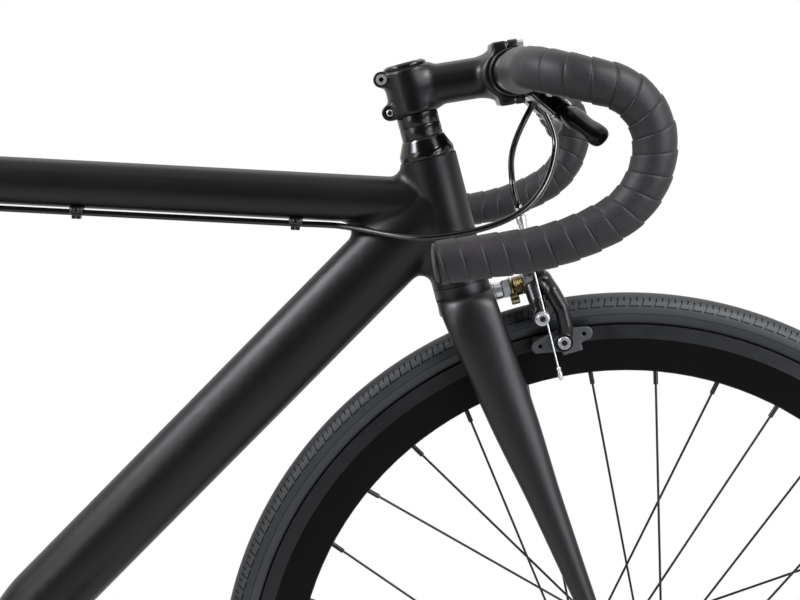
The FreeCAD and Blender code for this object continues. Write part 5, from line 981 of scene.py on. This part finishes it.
# The brake cables run in glossy black plastic housing with pressed steel end caps. The rear one is held under
# the top tube by moulded clips, each with two knobs, two feet and a seam.
housing_radius = 2.5 * mm
route_steps = 14
tube_slope = math.radians(3.053)
tube_back = Vector((-math.cos(tube_slope), 0, math.sin(tube_slope)))
tube_below = Vector((-math.sin(tube_slope), 0, -math.cos(tube_slope)))
top_tube_radius = 19.3 * mm
clip_side = 8 * mm
clip_drop = 22.26 * mm
clip_places = (("front", 216.6 * mm, 740.1 * mm), ("middle", 40.35 * mm, 749.5 * mm),
               ("rear", -96.46 * mm, 756.79 * mm))
clip_lift = 1.6 * mm
clip_halves = (tube_back * 5.6 * mm, left_hand * 4.3 * mm, tube_below * 3.6 * mm)
clip_edge = 1.3 * mm
seam_drop = 0.4 * mm
seam_halves = (tube_back * 7 * mm, left_hand * 6 * mm, tube_below * 0.4 * mm)
seam_core = (tube_back * 5.0 * mm, left_hand * 3.7 * mm, tube_below * 8 * mm)
seam_edge = 0.4 * mm
knob_apart = 2.6 * mm
knob_lift = 2.6 * mm
knob_half = 3.6 * mm
knob_radius = 1.4 * mm
knob_fillet = 0.8 * mm
foot_apart = 0.72 * knob_apart
foot_drop = 3.2 * mm
foot_halves = (tube_back * 1.9 * mm, left_hand * 3.4 * mm, tube_below * 2.0 * mm)
foot_edge = 1.0 * mm
foot_fillet = 0.5 * mm
housing_gap = 0.1 * mm
clip_clear = 20 * mm
tube_clear = 30 * mm
clip_cell = 0.4 * mm
clip_margin = Vector((8, 6, 8)) * mm
stop_out = 29.5 * mm
stop_side = left_hand * 34 * mm
exit_side = left_hand * 4 * mm
stop_at = bar_centre + lever_out * stop_out
adjuster_top = Vector((396.17, -35.55, 748.68)) * mm
adjuster_lead = Vector((389.57, -35.55, 773.83)) * mm
clip_front = Vector((221.05, -8, 739.87)) * mm
clip_lead = Vector((251.0, -8, 738.27)) * mm
front_route = [stop_at - stop_side, stop_at - exit_side, bar_centre + Vector((4, -6, -58)) * mm,
               adjuster_lead, adjuster_top]
rear_route = [stop_at + stop_side, stop_at + exit_side, bar_centre + Vector((36, -16, -60)) * mm,
              bar_centre + Vector((8, -47, -107)) * mm, bar_centre + Vector((-65, -44, -129)) * mm,
              clip_lead, clip_front]
cap_profile = ((2.52, 0), (3.05, 0), (3.05, 7.5), (2.75, 8.2), (2.52, 8.2))
cap_gap = 0.3 * mm
cap_side = 24.6 * mm


def clip_solid(at, middle):
    """A clip's head with its seam, knobs and feet, cut by the housing and the top tube."""
    head = slab(at, middle - tube_below * clip_lift, clip_halves, clip_edge)
    seam = slab(at, middle + tube_below * seam_drop, seam_halves)
    solid = carve(head, np.maximum(seam, -slab(at, middle, seam_core)), seam_edge)
    for way in (-1, 1):
        knob = middle + tube_back * way * knob_apart - tube_below * knob_lift - left_hand * knob_half
        solid = melt(solid, rod(at, knob, knob + left_hand * 2 * knob_half, knob_radius), knob_fillet)
        foot = middle + tube_back * way * foot_apart + tube_below * foot_drop
        solid = melt(solid, slab(at, foot, foot_halves, foot_edge), foot_fillet)
    cable = rod(at, middle - tube_back * clip_clear, middle + tube_back * clip_clear,
                housing_radius + housing_gap)
    axis = middle + left_hand * clip_side - tube_below * clip_drop
    top_tube = rod(at, axis - tube_back * tube_clear, axis + tube_back * tube_clear, top_tube_radius)
    return carve(carve(solid, cable), top_tube)


def rounded(points, samples):
    """A smooth run through the points, leaving the first and last along their own legs."""
    ends = [points[0] * 2 - points[1], *points, points[-1] * 2 - points[-2]]
    run = []
    for before, a, b, after in zip(ends, ends[1:], ends[2:], ends[3:]):
        reach = (b - a).length
        leave = (b - before).normalized() * reach
        arrive = (after - a).normalized() * reach
        for step in range(samples):
            t = step / samples
            run.append(a * (2 * t ** 3 - 3 * t ** 2 + 1) + leave * (t ** 3 - 2 * t ** 2 + t)
                       + b * (3 * t ** 2 - 2 * t ** 3) + arrive * (t ** 3 - t ** 2))
    return run + [points[-1].copy()]


# Extruded plastic housing: smooth black with a narrow line of light along it.
housing_black = surface("housing_plastic", "070708", "0d0d0e", (0.12, 0.20), 2.0, 0.004, 0.45)
# Moulded clips: black plastic with soft, bright highlights.
clip_black = surface("clip_plastic", "060607", "0c0c0d", (0.2, 0.3), 1.0, 0.01, 0.5)
dress(housing_black, "rear_brake_housing")
for clip_name, clip_x, clip_z in clip_places:
    clip_at = Vector((clip_x, -clip_side, clip_z))
    clip = forged("cable_clip_" + clip_name, clip_at - clip_margin, clip_at + clip_margin, clip_cell,
                  lambda at: clip_solid(at, clip_at), clip_black, "frame")
    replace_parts(clip, "cable_guides")
front_cable = tube("front_cable_housing", rounded(front_route, route_steps), housing_radius, housing_black,
                   "steering")
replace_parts(front_cable, "front_brake_housing")
rear_cable = tube("rear_cable_lead", rounded(rear_route, route_steps), housing_radius, housing_black, None)
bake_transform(rear_cable)
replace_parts(rear_cable, "rear_brake_lead")
cap_way = (adjuster_lead - adjuster_top).normalized()
turned("front_housing_cap", adjuster_top + cap_way * cap_gap, cap_way, cap_profile, bolt_steel, "steering")
for hand, side in (("right", -1), ("left", 1)):
    turned("lever_housing_cap_" + hand, stop_at + left_hand * side * cap_side, left_hand * -side, cap_profile,
           satin_black, "steering")

# The drive is a forged crankset and a machined chainring, anodised black, on a steel spindle in the bottom
# bracket. A roller chain of oiled steel joins the chainring to a steel cog fixed to the rear hub.
dress(satin_black, "right_crank", "left_crank", "chainring", "right_pedal", "left_pedal",
      "bottom_bracket_cups")
dress(axle_steel, "rear_cog", "bottom_bracket_spindle", "crank_bolts", "pedal_axles")
# Oiled chain steel: brownish grey metal with uneven gleams.
chain_steel = surface("oiled_chain_steel", "4f4c48", "77736d", (0.28, 0.42), 1.2, 0.01, Metallic=1.0)
dress(chain_steel, "chain")

# The seat is a cover stretched over foam on a moulded plastic base, with steel rails clamped on an aluminium
# post. Each section of the pad gives its share of the length, its width, crown and depth as shares of the
# pad's own, and how much of the channel it has.
saddle_low, saddle_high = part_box("saddle_cover")
saddle_length = saddle_high.x - saddle_low.x
saddle_half = 0.5 * (saddle_high.y - saddle_low.y)
pad_depth = 25 * mm
seat_level = 1000.97 * mm
channel_depth = 3.2 * mm
channel_share = 0.3
pad_levels = 3
pad_sections = ((0.0, 0.16, -0.34, 0.5, 0.0), (0.05, 0.25, -0.2, 0.82, 0.0), (0.16, 0.30, -0.12, 1.0, 0.0),
                (0.34, 0.36, -0.14, 1.05, 0.7), (0.52, 0.56, -0.12, 1.05, 1.0), (0.68, 0.84, 0.0, 1.05, 1.0),
                (0.82, 1.0, 0.12, 1.05, 0.7), (0.94, 0.93, 0.15, 0.95, 0.3), (1.0, 0.66, 0.02, 0.6, 0.0))
pad_profile = ((0.0, 0.0), (0.16, 0.004), (0.34, 0.015), (0.62, 0.09), (0.84, 0.26), (0.97, 0.55),
               (1.0, 0.76), (0.97, 0.95))
# Moulded plastic base: even dark grey, half dull.
shell_plastic = surface("saddle_shell_plastic", "0e0e0f", "171718", (0.38, 0.5), 1.4, 0.01)
# Grained leather: soft black with a broad, weak sheen.
cover_leather = surface("saddle_leather", "111112", "1c1b1c", (0.52, 0.66), 1.6, 0.05, 0.25)
pad_points = []
for run, half, crown, deep, dip in pad_sections:
    ring = []
    for across, fall in pad_profile:
        groove = channel_depth * dip * max(0, 1 - across / channel_share)
        ring.append((across * half * saddle_half, seat_level + pad_depth * (crown - deep * fall) - groove))
    x = saddle_high.x - run * saddle_length
    pad_points += [Vector((x, -y, z)) for y, z in reversed(ring)] + [Vector((x, y, z)) for y, z in ring[1:]]
ring_size = 2 * len(pad_profile) - 1
pad_faces = [tuple(range(ring_size)), tuple(range(len(pad_points) - ring_size, len(pad_points)))]
pad_faces += ring_faces(len(pad_sections), ring_size, False)
pad = make("saddle_pad", pad_points, pad_faces, cover_leather, "frame")
smooth = pad.modifiers.new("smooth", "SUBSURF")
smooth.levels = smooth.render_levels = pad_levels
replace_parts(pad, "saddle_cover")
dress(shell_plastic, "saddle_base")
dress(axle_steel, "saddle_rails")
dress(satin_black, "saddle_clamp", "seatpost", "seat_clamp")

# The studio has a pale floor card that fades into a white room. Five soft lamps light it: a weak one
# overhead, one in front, one above that, one behind and one to the left. A dark card gives the black
# finishes their depth.
floor_half = 1.5
floor_fade = (0.65, 1.05)
room_light = 0.32
lamp_aim = Vector((0.3, 0, 0.7))
flag_corners = [(-3.5, -2.4, 0), (3.0, -2.4, 0), (3.0, -2.4, 4.6), (-3.5, -2.4, 4.6)]


def card(name, corners, material):
    """A flat card of the studio."""
    mesh = bpy.data.meshes.new(name)
    mesh.from_pydata(corners, [], [(0, 1, 2, 3)])
    mesh.materials.append(material)
    piece = bpy.data.objects.new(name, mesh)
    bpy.context.scene.collection.objects.link(piece)
    return piece


def lamp(name, place, size, power, colour):
    """A soft rectangular lamp turned to the bicycle's front."""
    data = bpy.data.lights.new(name, "AREA")
    data.shape = "RECTANGLE"
    data.size, data.size_y = size
    data.energy = power
    data.color = linear(colour)[:3]
    light = bpy.data.objects.new(name, data)
    light.location = place
    light.rotation_euler = (lamp_aim - Vector(place)).to_track_quat("-Z", "Y").to_euler()
    bpy.context.scene.collection.objects.link(light)


# Matte card: an even pale grey that turns clear toward its edge, so that the white room takes over.
floor_white = surface("floor_card", "dedede", "e4e4e4", (0.7, 0.8), 30.0, 0.0)
tree = floor_white.node_tree
place = add(tree, "ShaderNodeTexCoord").outputs["Object"]
reach = add(tree, "ShaderNodeVectorMath", {0: place}, operation="LENGTH").outputs["Value"]
fade = add(tree, "ShaderNodeMapRange", {"Value": reach, "From Min": floor_fade[0], "From Max": floor_fade[1]},
           interpolation_type="SMOOTHSTEP").outputs["Result"]
clear = add(tree, "ShaderNodeBsdfTransparent").outputs["BSDF"]
mix = add(tree, "ShaderNodeMixShader", {"Fac": fade, 1: tree.nodes["finish"].outputs["BSDF"], 2: clear})
tree.links.new(mix.outputs["Shader"], tree.nodes["Material Output"].inputs["Surface"])
card("floor", [(-floor_half, -floor_half, 0), (floor_half, -floor_half, 0), (floor_half, floor_half, 0),
               (-floor_half, floor_half, 0)], floor_white)
# Black card: takes up light, and keeps the white room out of the reflections. The camera looks past it.
flag_card = surface("flag_card", "040404", "060606", (0.8, 0.9), 5.0, 0.0)
card("flag_right", flag_corners, flag_card).visible_camera = False

world = bpy.context.scene.world or bpy.data.worlds.new("studio")
bpy.context.scene.world = world
world.use_nodes = True
tree = world.node_tree
tree.nodes.clear()
path = add(tree, "ShaderNodeLightPath").outputs
seen = add(tree, "ShaderNodeMath", {0: path["Is Camera Ray"], 1: path["Is Glossy Ray"]}, operation="MAXIMUM")
seen = add(tree, "ShaderNodeMath", {0: seen.outputs[0], 1: path["Is Transmission Ray"]}, operation="MAXIMUM")
lit = add(tree, "ShaderNodeBackground", {"Color": linear("f2f5fa"), "Strength": room_light})
white = add(tree, "ShaderNodeBackground", {"Color": linear("ffffff"), "Strength": 1.0})
both = add(tree, "ShaderNodeMixShader", {
    "Fac": seen.outputs[0], 1: lit.outputs["Background"], 2: white.outputs["Background"]})
add(tree, "ShaderNodeOutputWorld", {"Surface": both.outputs["Shader"]})
lamp("overhead_light", (0.3, 1.3, 2.3), (2.4, 0.6), 6, "ffffff")
lamp("front_light", (1.8, -1.6, 1.15), (1.2, 1.8), 48, "f4f7ff")
lamp("top_light", (1.5, -0.95, 2.2), (0.8, 0.5), 36, "ffffff")
lamp("back_light", (-1.75, -0.65, 2.2), (1.0, 0.8), 70, "f6f9ff")
lamp("left_light", (-1.6, -1.5, 1.15), (0.7, 1.5), 18, "ffffff")

# The camera stands close to the bicycle's right side, at the height of the bar, and looks slightly down on
# its front end.
camera_place = Vector((0.2786, -1.1418, 0.8394))
camera_pitch = 0.142
camera_yaw = 0.020
camera_data = bpy.data.cameras.new("camera")
camera_data.lens = 63
camera_data.sensor_width = 36
camera_data.clip_start = 0.01
camera = bpy.data.objects.new("camera", camera_data)
camera.location = camera_place
ahead = Vector((math.sin(camera_yaw) * math.cos(camera_pitch), math.cos(camera_yaw) * math.cos(camera_pitch),
                -math.sin(camera_pitch)))
camera.rotation_euler = ahead.to_track_quat("-Z", "Y").to_euler()
bpy.context.scene.collection.objects.link(camera)
bpy.context.scene.camera = camera
bpy.context.scene.view_settings.view_transform = "Standard"
